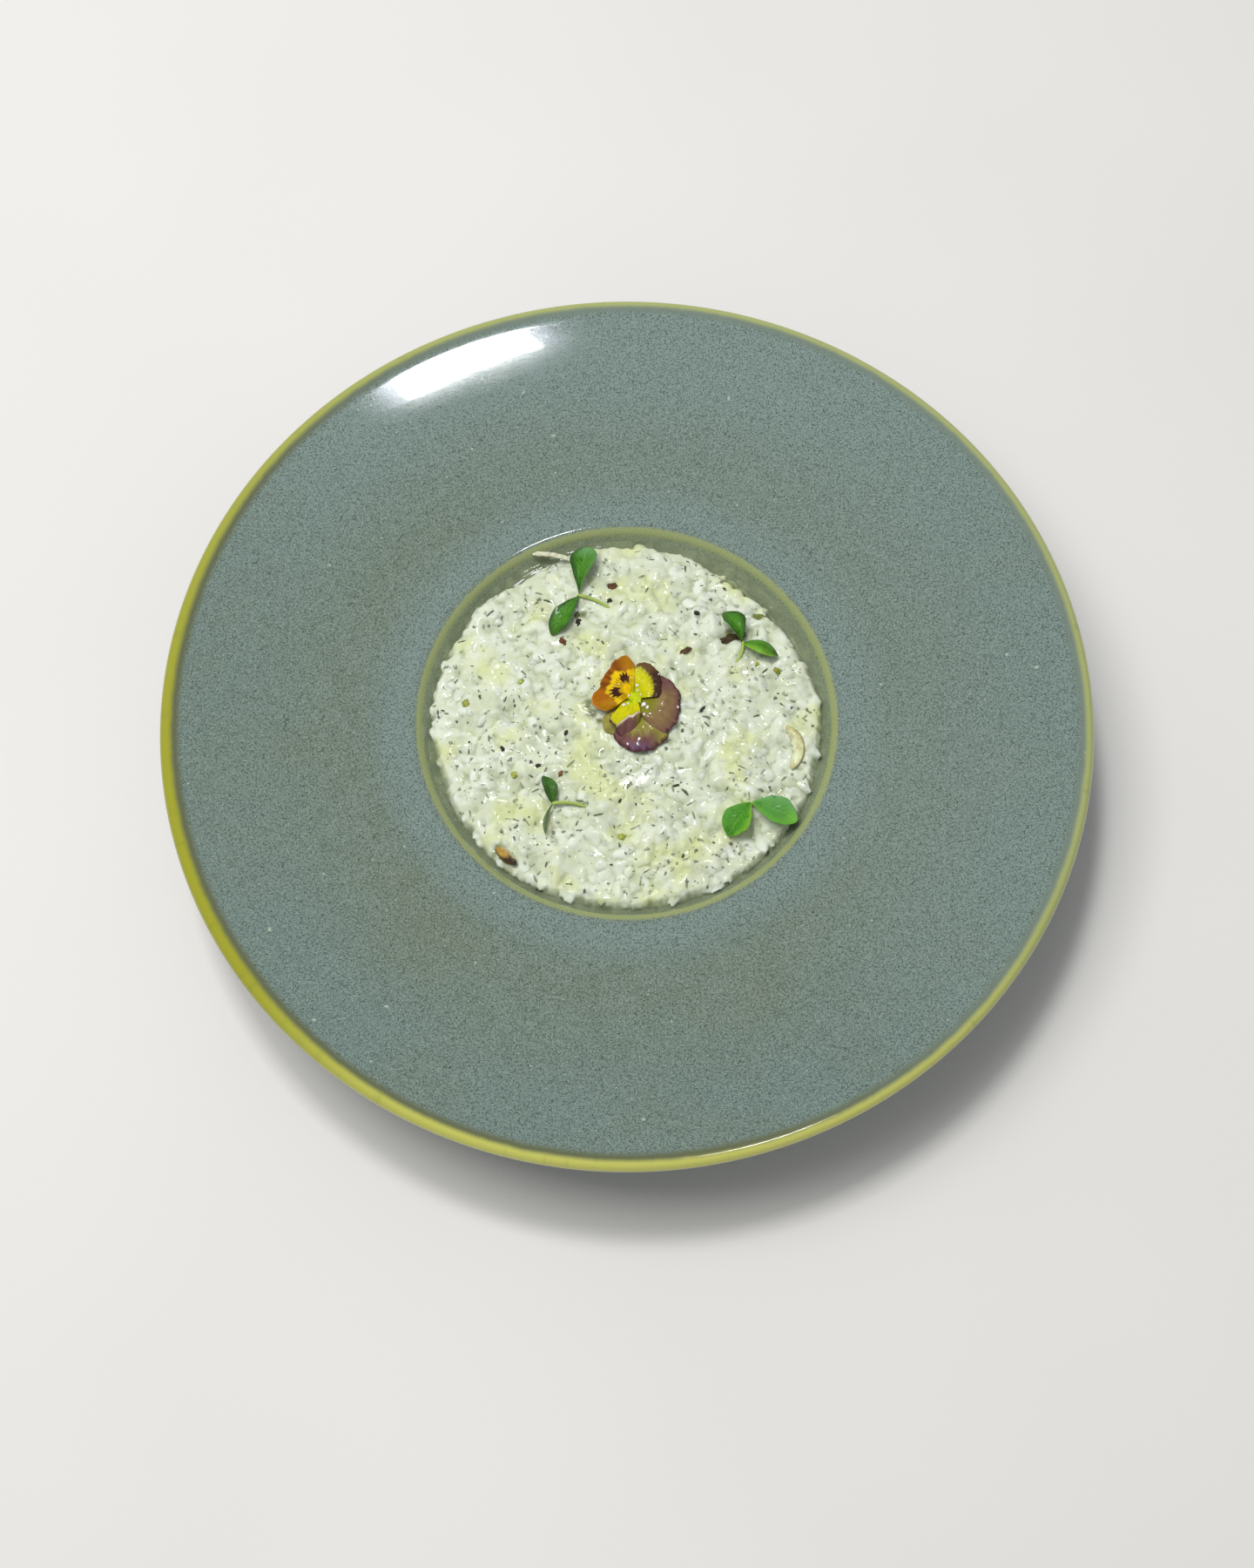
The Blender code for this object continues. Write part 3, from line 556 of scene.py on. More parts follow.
def riceSurface():
    # height, grain share, tone and the way outside the edge, on a square grid over the well
    r = riceShape
    draw = random.Random(5)
    half = int(r["reach"] / r["step"])
    axis = np.arange(-half, half + 1) * r["step"]
    gridX, gridY = np.meshgrid(axis, axis, indexing="ij")
    angles = np.linspace(-math.pi, math.pi, 721)
    outline = [edgeReach(a) for a in angles]
    outside = np.hypot(gridX, gridY) - np.interp(np.arctan2(gridY, gridX), angles, outline)
    bed = np.array([[bedHeight(x, y) for y in axis] for x in axis])
    heave = r["heave"] * (ripple(gridX, gridY, 6.5 * mm, 1) + 0.45 * ripple(gridX, gridY, 3.4 * mm, 2))
    heave *= 1 - 0.75 * coverAt(gridX, gridY)
    sauce = bed + r["sauceCover"] * (1 + 0.9 * ripple(gridX, gridY, 13 * mm, 4))
    sauce += 0.12 * mm * ripple(gridX, gridY, 2.4 * mm, 3)
    sauce += heave - smooth(outside, -1.6 * mm, 1.2 * mm) * (bed - 26.4 * mm)
    z, grain, tone = sauce.copy(), np.zeros_like(sauce), np.full_like(sauce, 0.5)
    bentX = gridX + 0.35 * mm * ripple(gridX, gridY, 1.7 * mm, 11)
    bentY = gridY + 0.35 * mm * ripple(gridX, gridY, 1.7 * mm, 12)
    join = r["softness"]
    for gx, gy in spreadDisc(r["grains"], r["edge"]):
        gx += draw.uniform(-1, 1) * mm
        gy += draw.uniform(-1, 1) * mm
        length = r["grainLength"] / 2 * draw.uniform(0.45, 1.15)
        width = r["grainWidth"] / 2 * draw.uniform(0.65, 1.15)
        turn, tilt, taper = draw.uniform(0, math.pi), draw.uniform(-0.22, 0.22), draw.uniform(-0.3, 0.3)
        stand = draw.uniform(-0.8, 0.75) * mm * (1 - 0.8 * float(coverAt(gx, gy)))
        shade = draw.random()
        at = math.hypot(gx, gy) - edgeReach(math.atan2(gy, gx))
        if at > -1.3 * mm:
            continue
        lowered = bedHeight(gx, gy) - float(smooth(at, -2.5 * mm, 1.0 * mm)) * 0.9 * mm
        i0, i1 = np.searchsorted(axis, [gx - length - 0.5 * mm, gx + length + 0.5 * mm])
        j0, j1 = np.searchsorted(axis, [gy - length - 0.5 * mm, gy + length + 0.5 * mm])
        dx, dy = bentX[i0:i1, j0:j1] - gx, bentY[i0:i1, j0:j1] - gy
        u = dx * math.cos(turn) + dy * math.sin(turn)
        v = -dx * math.sin(turn) + dy * math.cos(turn) + 0.06 * u * u / length
        inside = 1 - np.abs(u / length) ** 2.5 - (v / (width * (1 + taper * u / length))) ** 2
        cap = lowered + heave[i0:i1, j0:j1] + stand - 0.75 * width + tilt * u
        cap += np.sqrt(np.clip(inside, 0, 1)) * width * 0.95
        cap = np.where(inside > 0, cap, -1.0)
        old = z[i0:i1, j0:j1]
        overlap = np.clip(join - np.abs(old - cap), 0, None) / join
        new = np.maximum(old, cap) + overlap**2 * join / 4
        wins = smooth(cap - old, -0.20 * mm, 0.45 * mm)
        z[i0:i1, j0:j1] = new
        grain[i0:i1, j0:j1] = np.maximum(grain[i0:i1, j0:j1] * (1 - wins), wins)
        tone[i0:i1, j0:j1] = tone[i0:i1, j0:j1] * (1 - wins) + shade * wins
    # curdled sauce clings to everything, in fine uneven crumbs
    curdle = ripple(gridX, gridY, 1.1 * mm, 21) + 0.6 * ripple(gridX, gridY, 0.6 * mm, 22)
    z += r["curdle"] * curdle * (0.4 + 0.6 * smooth(ripple(gridX, gridY, 6 * mm, 23), -0.4, 0.5))
    # a small tilted pool of cream in front of the flower
    px, py, turn = gridX - r["pool"][0], gridY - r["pool"][1], math.radians(r["poolTurn"])
    u, v = px * math.cos(turn) + py * math.sin(turn), -px * math.sin(turn) + py * math.cos(turn)
    wavy = np.hypot(u / r["poolSize"][0], v / r["poolSize"][1]) + 0.18 * ripple(gridX, gridY, 2.0 * mm, 31)
    pool = 1 - smooth(wavy, 0.75, 1.25)
    plane = bedHeight(*r["pool"]) + 0.75 * mm + r["poolTilt"][0] * px + r["poolTilt"][1] * py
    plane = plane + 0.15 * mm * ripple(gridX, gridY, 1.7 * mm, 32)
    z = z * (1 - pool) + np.maximum(plane, z - 0.6 * mm) * pool
    return axis, z, grain * (1 - pool), tone, outside, gridX, gridY


# painted shadows that the toppings cast on the rice: x, y and radius in millimetres
paintedShadows = [(-11.6, 4.0, 2.0), (-10.6, 0.9, 2.0), (-8.4, -1.5, 1.7), (-38.4, -41.6, 2.2), (-35.8, -44.4, 1.8),
          (-13.6, 34.4, 1.5), (31.8, 28.6, 2.2), (-7.4, -10.6, 1.3)]


def paintedShadowAt(x, y):
    dark = np.zeros(np.shape(x))
    for sx, sy, radius in paintedShadows:
        off = np.hypot(x / mm - sx, y / mm - sy) + 0.5 * ripple(x, y, 1.2 * mm, 71)
        dark = np.maximum(dark, 1 - smooth(off, 0.2 * radius, 1.25 * radius))
    return dark


riceColours = dict(
    sauce=paint(207, 214, 186), curd=paint(222, 228, 209), kernel=paint(214, 221, 203),
    kernelPale=paint(228, 234, 220), oil=paint(210, 218, 144), murk=paint(150, 161, 130),
    wet=paint(160, 171, 128), pepper=paint(96, 106, 80), stain=paint(96, 104, 44),
)


def riceFinish(name, loose):
    c = riceColours
    material, w, shader = newFinish(name, Subsurface_Weight=0.50, Subsurface_Radius=(1.0, 0.9, 0.6),
                                    Subsurface_Scale=1.6 * mm, Specular_IOR_Level=0.55,
                                    Coat_Weight=0.9, Coat_Roughness=0.14, Coat_IOR=1.45)
    spot = w.spot()
    tone = w.read("tone").outputs["Fac"]
    sauce = w.mix(w.span(w.grit(spot, 120.0, 3.0, 0.55), 0.38, 0.62), c["sauce"], c["curd"])
    kernel = w.mix(tone, c["kernel"], c["kernelPale"])
    if loose:
        colour = w.mix(w.times(tone, 0.7), kernel, sauce)
    else:
        colour = w.mix(w.read("grain").outputs["Fac"], sauce, kernel)
        # painted shade: the hollows between the grains are darkened
        colour = w.mix(w.times(w.read("dip").outputs["Fac"], 0.6), colour, c["wet"])
    oil = w.times(w.span(w.grit(spot, 55.0, 3.0, 0.60), 0.48, 0.66), 0.62)
    colour = w.mix(oil, colour, c["oil"])
    murk = w.times(w.span(w.grit(spot, 190.0, 2.0, 0.6), 0.55, 0.70), 0.34)
    colour = w.mix(murk, colour, c["murk"])
    peppery = w.times(w.span(w.grit(spot, 560.0, 1.0, 0.5), 0.68, 0.78), 0.50)
    colour = w.mix(peppery, colour, c["pepper"])
    if not loose:
        # painted shadows of the toppings darken the rice beside them
        colour = w.mix(w.times(w.read("stain").outputs["Fac"], 0.85), colour, c["stain"])
    fine, coarse = w.grit(spot, 1400.0, 2.0, 0.6), w.grit(spot, 520.0, 2.0, 0.55)
    height = w.plus(w.times(fine, 0.35), coarse)
    rough = w.span(coarse, 0.35, 0.65, 0.12, 0.36)
    feed(w, shader, Base_Color=colour, Roughness=rough, Normal=w.bump(height, 0.10 * mm, 0.6))
    return material


def buildCore(surface):
    axis, z, grain, tone, outside, gridX, gridY = surface
    n = len(axis)
    wall = np.array([wallRadius(h) for h in z.ravel()]).reshape(z.shape) - 0.15 * mm
    keep = (np.hypot(gridX, gridY) < np.minimum(wall, riceShape["reach"])) & (outside < 2.4 * mm)
    index = -np.ones((n, n), int)
    index[keep] = np.arange(keep.sum())
    quads = keep[:-1, :-1] & keep[1:, :-1] & keep[1:, 1:] & keep[:-1, 1:]
    i, j = np.nonzero(quads)
    faces = np.stack([index[i, j], index[i + 1, j], index[i + 1, j + 1], index[i, j + 1]], 1)
    mesh = meshFrom("risottoCore", np.stack([gridX[keep], gridY[keep], z[keep]], 1).tolist(), faces.tolist())
    wide = z.copy()
    for _ in range(12):
        wide[1:-1, 1:-1] = (wide[:-2, 1:-1] + wide[2:, 1:-1] + wide[1:-1, :-2] + wide[1:-1, 2:]) / 4
    floats(mesh, "grain", grain[keep])
    floats(mesh, "tone", tone[keep])
    # how far each point sits below its smoothed neighbours; it sets the painted shade in the hollows
    floats(mesh, "dip", smooth(wide - z, 0.02 * mm, 0.30 * mm)[keep])
    # where the toppings' painted shadows fall
    floats(mesh, "stain", paintedShadowAt(gridX[keep], gridY[keep]))
    bm = bmesh.new()
    bm.from_mesh(mesh)
    bmesh.ops.delete(bm, geom=[v for v in bm.verts if not v.link_faces], context="VERTS")
    # the sides follow the well down to its floor
    rim = [e for e in bm.edges if e.is_boundary]
    centreR, centreZ = filletCentre()
    for level in (24 * mm, 15 * mm, 10 * mm, 7.4 * mm):
        ring = bmesh.ops.extrude_edge_only(bm, edges=rim)["geom"]
        rim = [e for e in ring if isinstance(e, bmesh.types.BMEdge) and e.is_boundary]
        depth = min(1.0, max(0.0, (centreZ - level) / plateSize["fillet"]))
        inner = centreR + plateSize["fillet"] * math.sqrt(max(0.0, 1 - depth**2))
        limit = (wallRadius(level) if level > 15 * mm else inner) - 0.4 * mm
        for vert in {v for e in rim for v in e.verts}:
            far = math.hypot(vert.co.x, vert.co.y)
            vert.co = (vert.co.x * limit / far, vert.co.y * limit / far, level)
    bmesh.ops.holes_fill(bm, edges=rim, sides=0)
    bmesh.ops.recalc_face_normals(bm, faces=bm.faces)
    bm.to_mesh(mesh)
    bm.free()
    mesh.shade_smooth()
    print("core triangles", sum(len(p.vertices) - 2 for p in mesh.polygons))
    return place("risottoCore", mesh, riceFinish("creamy rice", False))


core = buildCore(riceSurface())
print("risotto core raised")


# broth in the narrow gap between the rice and the well's wall

brothShape = dict(level=29.5 * mm, inner=56.4 * mm, climb=0.75 * mm, depth=1.4 * mm, segments=200)


def buildBroth():
    b = brothShape
    edge = wallRadius(b["level"]) + 0.4 * mm
    rings = [(b["inner"], -b["depth"] / mm), (b["inner"], 0.0)]
    rings += [(edge - 2.2 * mm + 2.2 * mm * i / 8, (i / 8) ** 3) for i in range(9)]
    verts, faces = [], []
    last = len(rings)
    for i in range(b["segments"]):
        angle = math.tau * i / b["segments"]
        sway = 0.15 * mm * noise.noise(Vector((math.cos(angle), math.sin(angle), 0)) * 5)
        for far, climb in rings:
            z = b["level"] + sway + (climb * b["climb"] if climb > 0 else climb * mm)
            reach = min(far + max(climb, 0) * 0.5 * b["climb"], wallRadius(z) + 0.45 * mm)
            verts.append((reach * math.cos(angle), reach * math.sin(angle), z))
        z = b["level"] - b["depth"]
        reach = wallRadius(z) + 0.45 * mm
        verts.append((reach * math.cos(angle), reach * math.sin(angle), z))
    for i in range(b["segments"]):
        for k in range(last + 1):
            a, c = i * (last + 1), ((i + 1) % b["segments"]) * (last + 1)
            faces.append((a + k, c + k, c + (k + 1) % (last + 1), a + (k + 1) % (last + 1)))
    material, w, shader = newFinish("thin broth", Roughness=0.05, Specular_IOR_Level=0.6, Alpha=0.30)
    spot = w.spot()
    cloudy = w.span(w.grit(spot, 240.0, 3.0, 0.6), 0.4, 0.65)
    colour = w.mix(cloudy, paint(136, 148, 116), paint(172, 182, 146))
    colour = w.mix(w.span(w.grit(spot, 900.0, 1.0), 0.70, 0.78), colour, paint(214, 222, 200))
    feed(w, shader, Base_Color=colour, Normal=w.bump(w.grit(spot, 260.0, 2.0), 0.10 * mm, 0.6))
    mesh = meshFrom("brothRing", verts, faces)
    outward(mesh)
    mesh.shade_smooth()
    return finishPiece(place("brothRing", mesh, material), "rice")


buildBroth()
print("broth poured")


# what is scattered over the core: each kind falls on a landing mesh and turns with it

def scatterTree(name, shape, material):
    wires, given, out = startTree(name, {
        "Landing": ("Object", None), "Density": ("Float", 1e5), "Gap": ("Float", 1 * mm),
        "Seed": ("Int", 0), "Length": ("Float", 6 * mm), "Width": ("Float", 3 * mm),
        "Thickness": ("Float", 2 * mm), "Smallest": ("Float", 0.8), "Largest": ("Float", 1.2),
        "Sink": ("Float", 0.0), "Upright": ("Float", 0.5), "Tilt": ("Float", 0.2),
        "Crumple": ("Float", 0.0), "Crumple Scale": ("Float", 400.0)})
    room = wires.add("GeometryNodeInputNamedAttribute", {"Name": "room"}, data_type="FLOAT")
    points = wires.add("GeometryNodeDistributePointsOnFaces", {
        "Mesh": given["Geometry"], "Distance Min": given["Gap"], "Density Max": given["Density"],
        "Density Factor": room.outputs["Attribute"], "Seed": given["Seed"]},
        distribute_method="POISSON").outputs["Points"]
    landing = wires.add("GeometryNodeObjectInfo", {"Object": given["Landing"]}).outputs["Geometry"]
    fall = wires.add("GeometryNodeRaycast", {
        "Target Geometry": landing, "Ray Direction": (0, 0, -1), "Ray Length": 0.1})
    up = wires.add("ShaderNodeVectorMath", {
        0: fall.outputs["Hit Normal"],
        1: wires.add("ShaderNodeCombineXYZ", {"Z": given["Upright"]}).outputs[0]}, operation="ADD").outputs[0]
    missed = wires.add("FunctionNodeBooleanMath", {0: fall.outputs["Is Hit"]}, operation="NOT").outputs[0]
    over = wires.add("GeometryNodeDeleteGeometry", {
        0: points, "Selection": missed}, domain="POINT").outputs[0]
    kept = wires.add("GeometryNodeStoreNamedAttribute", {
        "Geometry": over, "Name": "up", "Value": up}, data_type="FLOAT_VECTOR", domain="POINT").outputs[0]
    landed = wires.add("GeometryNodeSetPosition", {
        "Geometry": kept, "Position": fall.outputs["Hit Position"]}).outputs[0]
    upright = wires.add("GeometryNodeInputNamedAttribute", {"Name": "up"}, data_type="FLOAT_VECTOR")
    turned = wires.add("FunctionNodeAlignRotationToVector", {
        "Vector": upright.outputs["Attribute"]}, axis="Z")
    lean = wires.times(given["Tilt"], -1.0)
    low = wires.add("ShaderNodeCombineXYZ", {"X": lean, "Y": lean, "Z": 0.0}).outputs[0]
    high = wires.add("ShaderNodeCombineXYZ", {
        "X": given["Tilt"], "Y": given["Tilt"], "Z": math.tau}).outputs[0]
    spin = wires.add("FunctionNodeRandomValue", {
        "Min": low, "Max": high, "Seed": 3}, data_type="FLOAT_VECTOR")
    spun = wires.add("FunctionNodeRotateRotation", {
        "Rotation": turned.outputs[0], "Rotate By": spin.outputs["Value"]}, rotation_space="LOCAL").outputs[0]

    def varied(size, seed):
        grow = wires.add("FunctionNodeRandomValue", {2: given["Smallest"], 3: given["Largest"], "Seed": seed},
                         data_type="FLOAT").outputs[1]
        return wires.times(size, grow)

    scale = wires.add("ShaderNodeCombineXYZ", {
        "X": varied(given["Length"], 4), "Y": varied(given["Width"], 5), "Z": varied(given["Thickness"], 6)})
    if shape == "grain":
        ball = wires.add("GeometryNodeMeshUVSphere", {"Segments": 10, "Rings": 6, "Radius": 0.5})
        solid = wires.add("GeometryNodeTransform", {
            "Geometry": ball.outputs["Mesh"], "Rotation": (0, math.pi / 2, 0)}).outputs[0]
    else:
        solid = wires.add("GeometryNodeMeshIcoSphere", {"Subdivisions": 2, "Radius": 0.5}).outputs["Mesh"]
    laid = wires.add("GeometryNodeInstanceOnPoints", {
        "Points": landed, "Instance": solid, "Rotation": spun, "Scale": scale.outputs[0]}).outputs[0]
    down = wires.add("ShaderNodeCombineXYZ", {"Z": wires.times(given["Sink"], -1.0)}).outputs[0]
    sunk = wires.add("GeometryNodeTranslateInstances", {
        "Instances": laid, "Translation": down, "Local Space": False}).outputs[0]
    shade = wires.add("FunctionNodeRandomValue", {"Seed": 9}, data_type="FLOAT").outputs[1]
    toned = wires.add("GeometryNodeStoreNamedAttribute", {
        "Geometry": sunk, "Name": "tone", "Value": shade}, data_type="FLOAT", domain="INSTANCE").outputs[0]
    whole = wires.add("GeometryNodeRealizeInstances", {0: toned}).outputs[0]
    spot = wires.add("GeometryNodeInputPosition").outputs[0]
    lump = wires.minus(wires.grit(spot, given["Crumple Scale"], 1.0), 0.5)
    push = wires.add("ShaderNodeVectorMath", {
        0: wires.add("GeometryNodeInputNormal").outputs[0],
        "Scale": wires.times(lump, given["Crumple"])}, operation="SCALE").outputs[0]
    crumpled = wires.add("GeometryNodeSetPosition", {"Geometry": whole, "Offset": push}).outputs[0]
    rounded = wires.add("GeometryNodeSetShadeSmooth", {0: crumpled}).outputs[0]
    clad = wires.add("GeometryNodeSetMaterial", {"Geometry": rounded, "Material": material}).outputs[0]
    wires.tree.links.new(clad, out.inputs[0])
    return wires


def fallSheet(reach, roomAt):
    # a flat sheet above the rice that scattered things fall from; room is their density at each spot
    step = 1.5 * mm
    half = int(reach / step)
    axis = np.arange(-half, half + 1) * step
    gridX, gridY = np.meshgrid(axis, axis, indexing="ij")
    keep = np.hypot(gridX, gridY) < reach
    index = -np.ones(gridX.shape, int)
    index[keep] = np.arange(keep.sum())
    i, j = np.nonzero(keep[:-1, :-1] & keep[1:, :-1] & keep[1:, 1:] & keep[:-1, 1:])
    faces = np.stack([index[i, j], index[i + 1, j], index[i + 1, j + 1], index[i, j + 1]], 1)
    high = np.full(keep.sum(), 60 * mm)
    mesh = meshFrom("fallSheet", np.stack([gridX[keep], gridY[keep], high], 1).tolist(), faces.tolist())
    floats(mesh, "room", roomAt(gridX[keep], gridY[keep]))
    return place("fallSheet", mesh)


def scatter(name, shape, material, landing, values, roomAt, reach):
    values = dict(values, Landing=landing)
    base = fallSheet(reach, roomAt)
    piece = runTree(name, base, scatterTree(name, shape, material), values)
    print(name, "triangles", sum(len(p.vertices) - 2 for p in piece.data.polygons))
    return piece


def insideRice(margin, clumping=0.0):
    angles = np.linspace(-math.pi, math.pi, 361)
    outline = [edgeReach(a) for a in angles]

    def roomAt(x, y):
        inside = np.hypot(x, y) < np.interp(np.arctan2(y, x), angles, outline) - margin
        clump = 1 - clumping * (1 - smooth(ripple(x, y, 8 * mm, 61), -0.45, 0.55))
        return inside * (1 - coverAt(x, y)) * clump

    return roomAt


looseGrains = {
    "Gap": 5.2 * mm, "Density": 6e4, "Seed": 7,
    "Length": 6.8 * mm, "Width": 3.7 * mm, "Thickness": 2.6 * mm, "Smallest": 0.6, "Largest": 1.1,
    "Sink": 1.25 * mm, "Upright": 3.0, "Tilt": 0.20, "Crumple": 1.1 * mm, "Crumple Scale": 380.0}
grains = scatter("looseGrains", "grain", riceFinish("swollen grains", True), core, looseGrains,
                 insideRice(2.0 * mm), riceShape["reach"])


def joinedCopy(name, *objects):
    bm = bmesh.new()
    for obj in objects:
        bm.from_mesh(obj.data)
    mesh = bpy.data.meshes.new(name)
    bm.to_mesh(mesh)
    bm.free()
    return place(name, mesh)


landing = joinedCopy("landing", core, grains)


def crumbFinish(name, dark, light):
    material, w, shader = newFinish(name, Specular_IOR_Level=0.5, Coat_Weight=0.3, Coat_Roughness=0.15)
    colour = w.mix(w.read("tone").outputs["Fac"], dark, light)
    spot = w.spot()
    mottle = w.grit(spot, 2400.0, 3.0, 0.65)
    colour = w.mix(w.span(mottle, 0.45, 0.70, 0.0, 0.45), colour, light)
    rough = w.span(mottle, 0.3, 0.7, 0.35, 0.60)
    feed(w, shader, Base_Color=colour, Roughness=rough, Normal=w.bump(mottle, 0.08 * mm, 0.8))
    return material


crumbKinds = {
    "truffleFlecks": dict(
        finish="black truffle", dark=(48, 52, 40), light=(178, 184, 156), margin=0.6 * mm, clumping=0.85,
        values={"Gap": 1.5 * mm, "Density": 7e4, "Seed": 21,
                "Length": 1.55 * mm, "Width": 0.85 * mm, "Thickness": 0.45 * mm,
                "Smallest": 0.20, "Largest": 1.45, "Sink": 0.08 * mm, "Upright": 0.4, "Tilt": 0.3,
                "Crumple": 1.5 * mm, "Crumple Scale": 1500.0}),
    "herbNeedles": dict(
        finish="soaked herb", dark=(58, 68, 44), light=(146, 156, 120), margin=1.0 * mm, clumping=0.8,
        values={"Gap": 2.6 * mm, "Density": 3.2e4, "Seed": 33,
                "Length": 2.8 * mm, "Width": 0.55 * mm, "Thickness": 0.36 * mm,
                "Smallest": 0.5, "Largest": 1.3, "Sink": 0.05 * mm, "Upright": 0.8, "Tilt": 0.15,
                "Crumple": 0.75 * mm, "Crumple Scale": 1100.0}),
    "truffleDust": dict(
        finish="truffle dust", dark=(104, 112, 86), light=(164, 172, 140), margin=0.3 * mm, clumping=0.9,
        values={"Gap": 1.3 * mm, "Density": 5e4, "Seed": 41,
                "Length": 0.48 * mm, "Width": 0.38 * mm, "Thickness": 0.26 * mm,
                "Smallest": 0.6, "Largest": 1.4, "Sink": 0.0, "Upright": 0.4, "Tilt": 0.3,
                "Crumple": 0.1 * mm, "Crumple Scale": 2500.0}),
}
crumbs = []
for name, kind in crumbKinds.items():
    skin = crumbFinish(kind["finish"], paint(*kind["dark"]), paint(*kind["light"]))
    crumbs.append(scatter(name, "crumb", skin, landing, kind["values"],
                          insideRice(kind["margin"], kind["clumping"]), riceShape["reach"]))
print("rice and truffle scattered")


# things laid one by one: single bits, then the garnish

class Pile:
    # closed shells and their colours, gathered into one mesh
    def __init__(self):
        self.verts, self.faces, self.tints = [], [], []

    def add(self, verts, faces, tints):
        start = len(self.verts)
        self.verts += [tuple(v) for v in verts]
        self.faces += [tuple(start + i for i in face) for face in faces]
        self.tints += [tuple(t) for t in tints]

    def build(self, name, material, lowest=None):
        mesh = meshFrom(name, self.verts, self.faces)
        colours(mesh, "tint", self.tints)
        outward(mesh)
        if lowest is not None:
            bottom = min(v.co.z for v in mesh.vertices)
            mesh.transform(Matrix.Translation((0, 0, lowest - bottom)))
        mesh.shade_smooth()
        return place(name, mesh, material)


def gridFaces(rows, columns, start=0, closed=False):
    faces = []
    for i in range(rows - 1):
        for j in range(columns if closed else columns - 1):
            a, b = start + i * columns + j, start + i * columns + (j + 1) % columns
            faces.append((a, b, b + columns, a + columns))
    return faces


def thickSheet(points, thickness, tints):
    # both faces of a sheet given as rows of points, and the rim between them
    rows, columns = points.shape[:2]
    along = np.gradient(points, axis=0)
    across = np.gradient(points, axis=1)
    normal = np.cross(along, across)
    normal /= np.maximum(np.linalg.norm(normal, axis=2, keepdims=True), 1e-12)
    t = np.linspace(0, 1, rows)[:, None]
    s = np.linspace(-1, 1, columns)[None, :]
    taper = np.clip(1 - s**8, 0.25, 1) * np.clip(1 - (2 * t - 1) ** 12, 0.25, 1)
    half = normal * (thickness / 2 * taper)[..., None]
    top, bottom = points + half, points - half
    verts = np.concatenate([top.reshape(-1, 3), bottom.reshape(-1, 3)])
    faces = gridFaces(rows, columns)
    other = rows * columns
    faces += [tuple(reversed([other + i for i in face])) for face in gridFaces(rows, columns)]
    edge = [j for j in range(columns)] + [i * columns + columns - 1 for i in range(1, rows)]
    edge += [(rows - 1) * columns + j for j in range(columns - 2, -1, -1)]
    edge += [i * columns for i in range(rows - 2, 0, -1)]
    for a, b in zip(edge, edge[1:] + edge[:1]):
        faces.append((b, a, other + a, other + b))
    flat = tints.reshape(-1, 4)
    return verts, faces, np.concatenate([flat, flat])


def tube(points, radii, tint, sides=10):
    # a round tube through the points, pointed or blunt as the radii say
    verts, rings = [], len(points)
    for i, (point, radius) in enumerate(zip(points, radii)):
        ahead = (points[min(i + 1, rings - 1)] - points[max(i - 1, 0)]).normalized()
        side = ahead.cross(Vector((0, 0, 1))).normalized()
        up = side.cross(ahead)
        for k in range(sides):
            angle = math.tau * k / sides
            verts.append(point + radius * (math.cos(angle) * side + math.sin(angle) * up))
    faces = gridFaces(rings, sides, closed=True)
    faces += [tuple(range(sides)), tuple(reversed(range((rings - 1) * sides, rings * sides)))]
    return verts, faces, [tint] * len(verts)


ground = BVHTree.FromPolygons([v.co for v in landing.data.vertices],
                              [tuple(p.vertices) for p in landing.data.polygons])
bpy.data.objects.remove(landing, do_unlink=True)


def lumpAt(spot, up, size, turn, seed):
    # an uneven little lump lying at spot: its points and faces
    bm = bmesh.new()
    bmesh.ops.create_icosphere(bm, subdivisions=3, radius=0.5)
    draw = Vector((seed * 1.7, seed * 0.3, 0))
    aligned = up.to_track_quat("Z", "Y").to_matrix() @ Matrix.Rotation(math.radians(turn), 3, "Z")
    for vert in bm.verts:
        co = vert.co * (1 + 0.60 * noise.noise(vert.co * 3.1 + draw) + 0.40 * noise.noise(vert.co * 8 + draw))
        vert.co = spot + aligned @ Vector([c * s for c, s in zip(co, size)])
    bm.verts.index_update()
    result = [v.co.copy() for v in bm.verts], [tuple(v.index for v in f.verts) for f in bm.faces]
    bm.free()
    return result


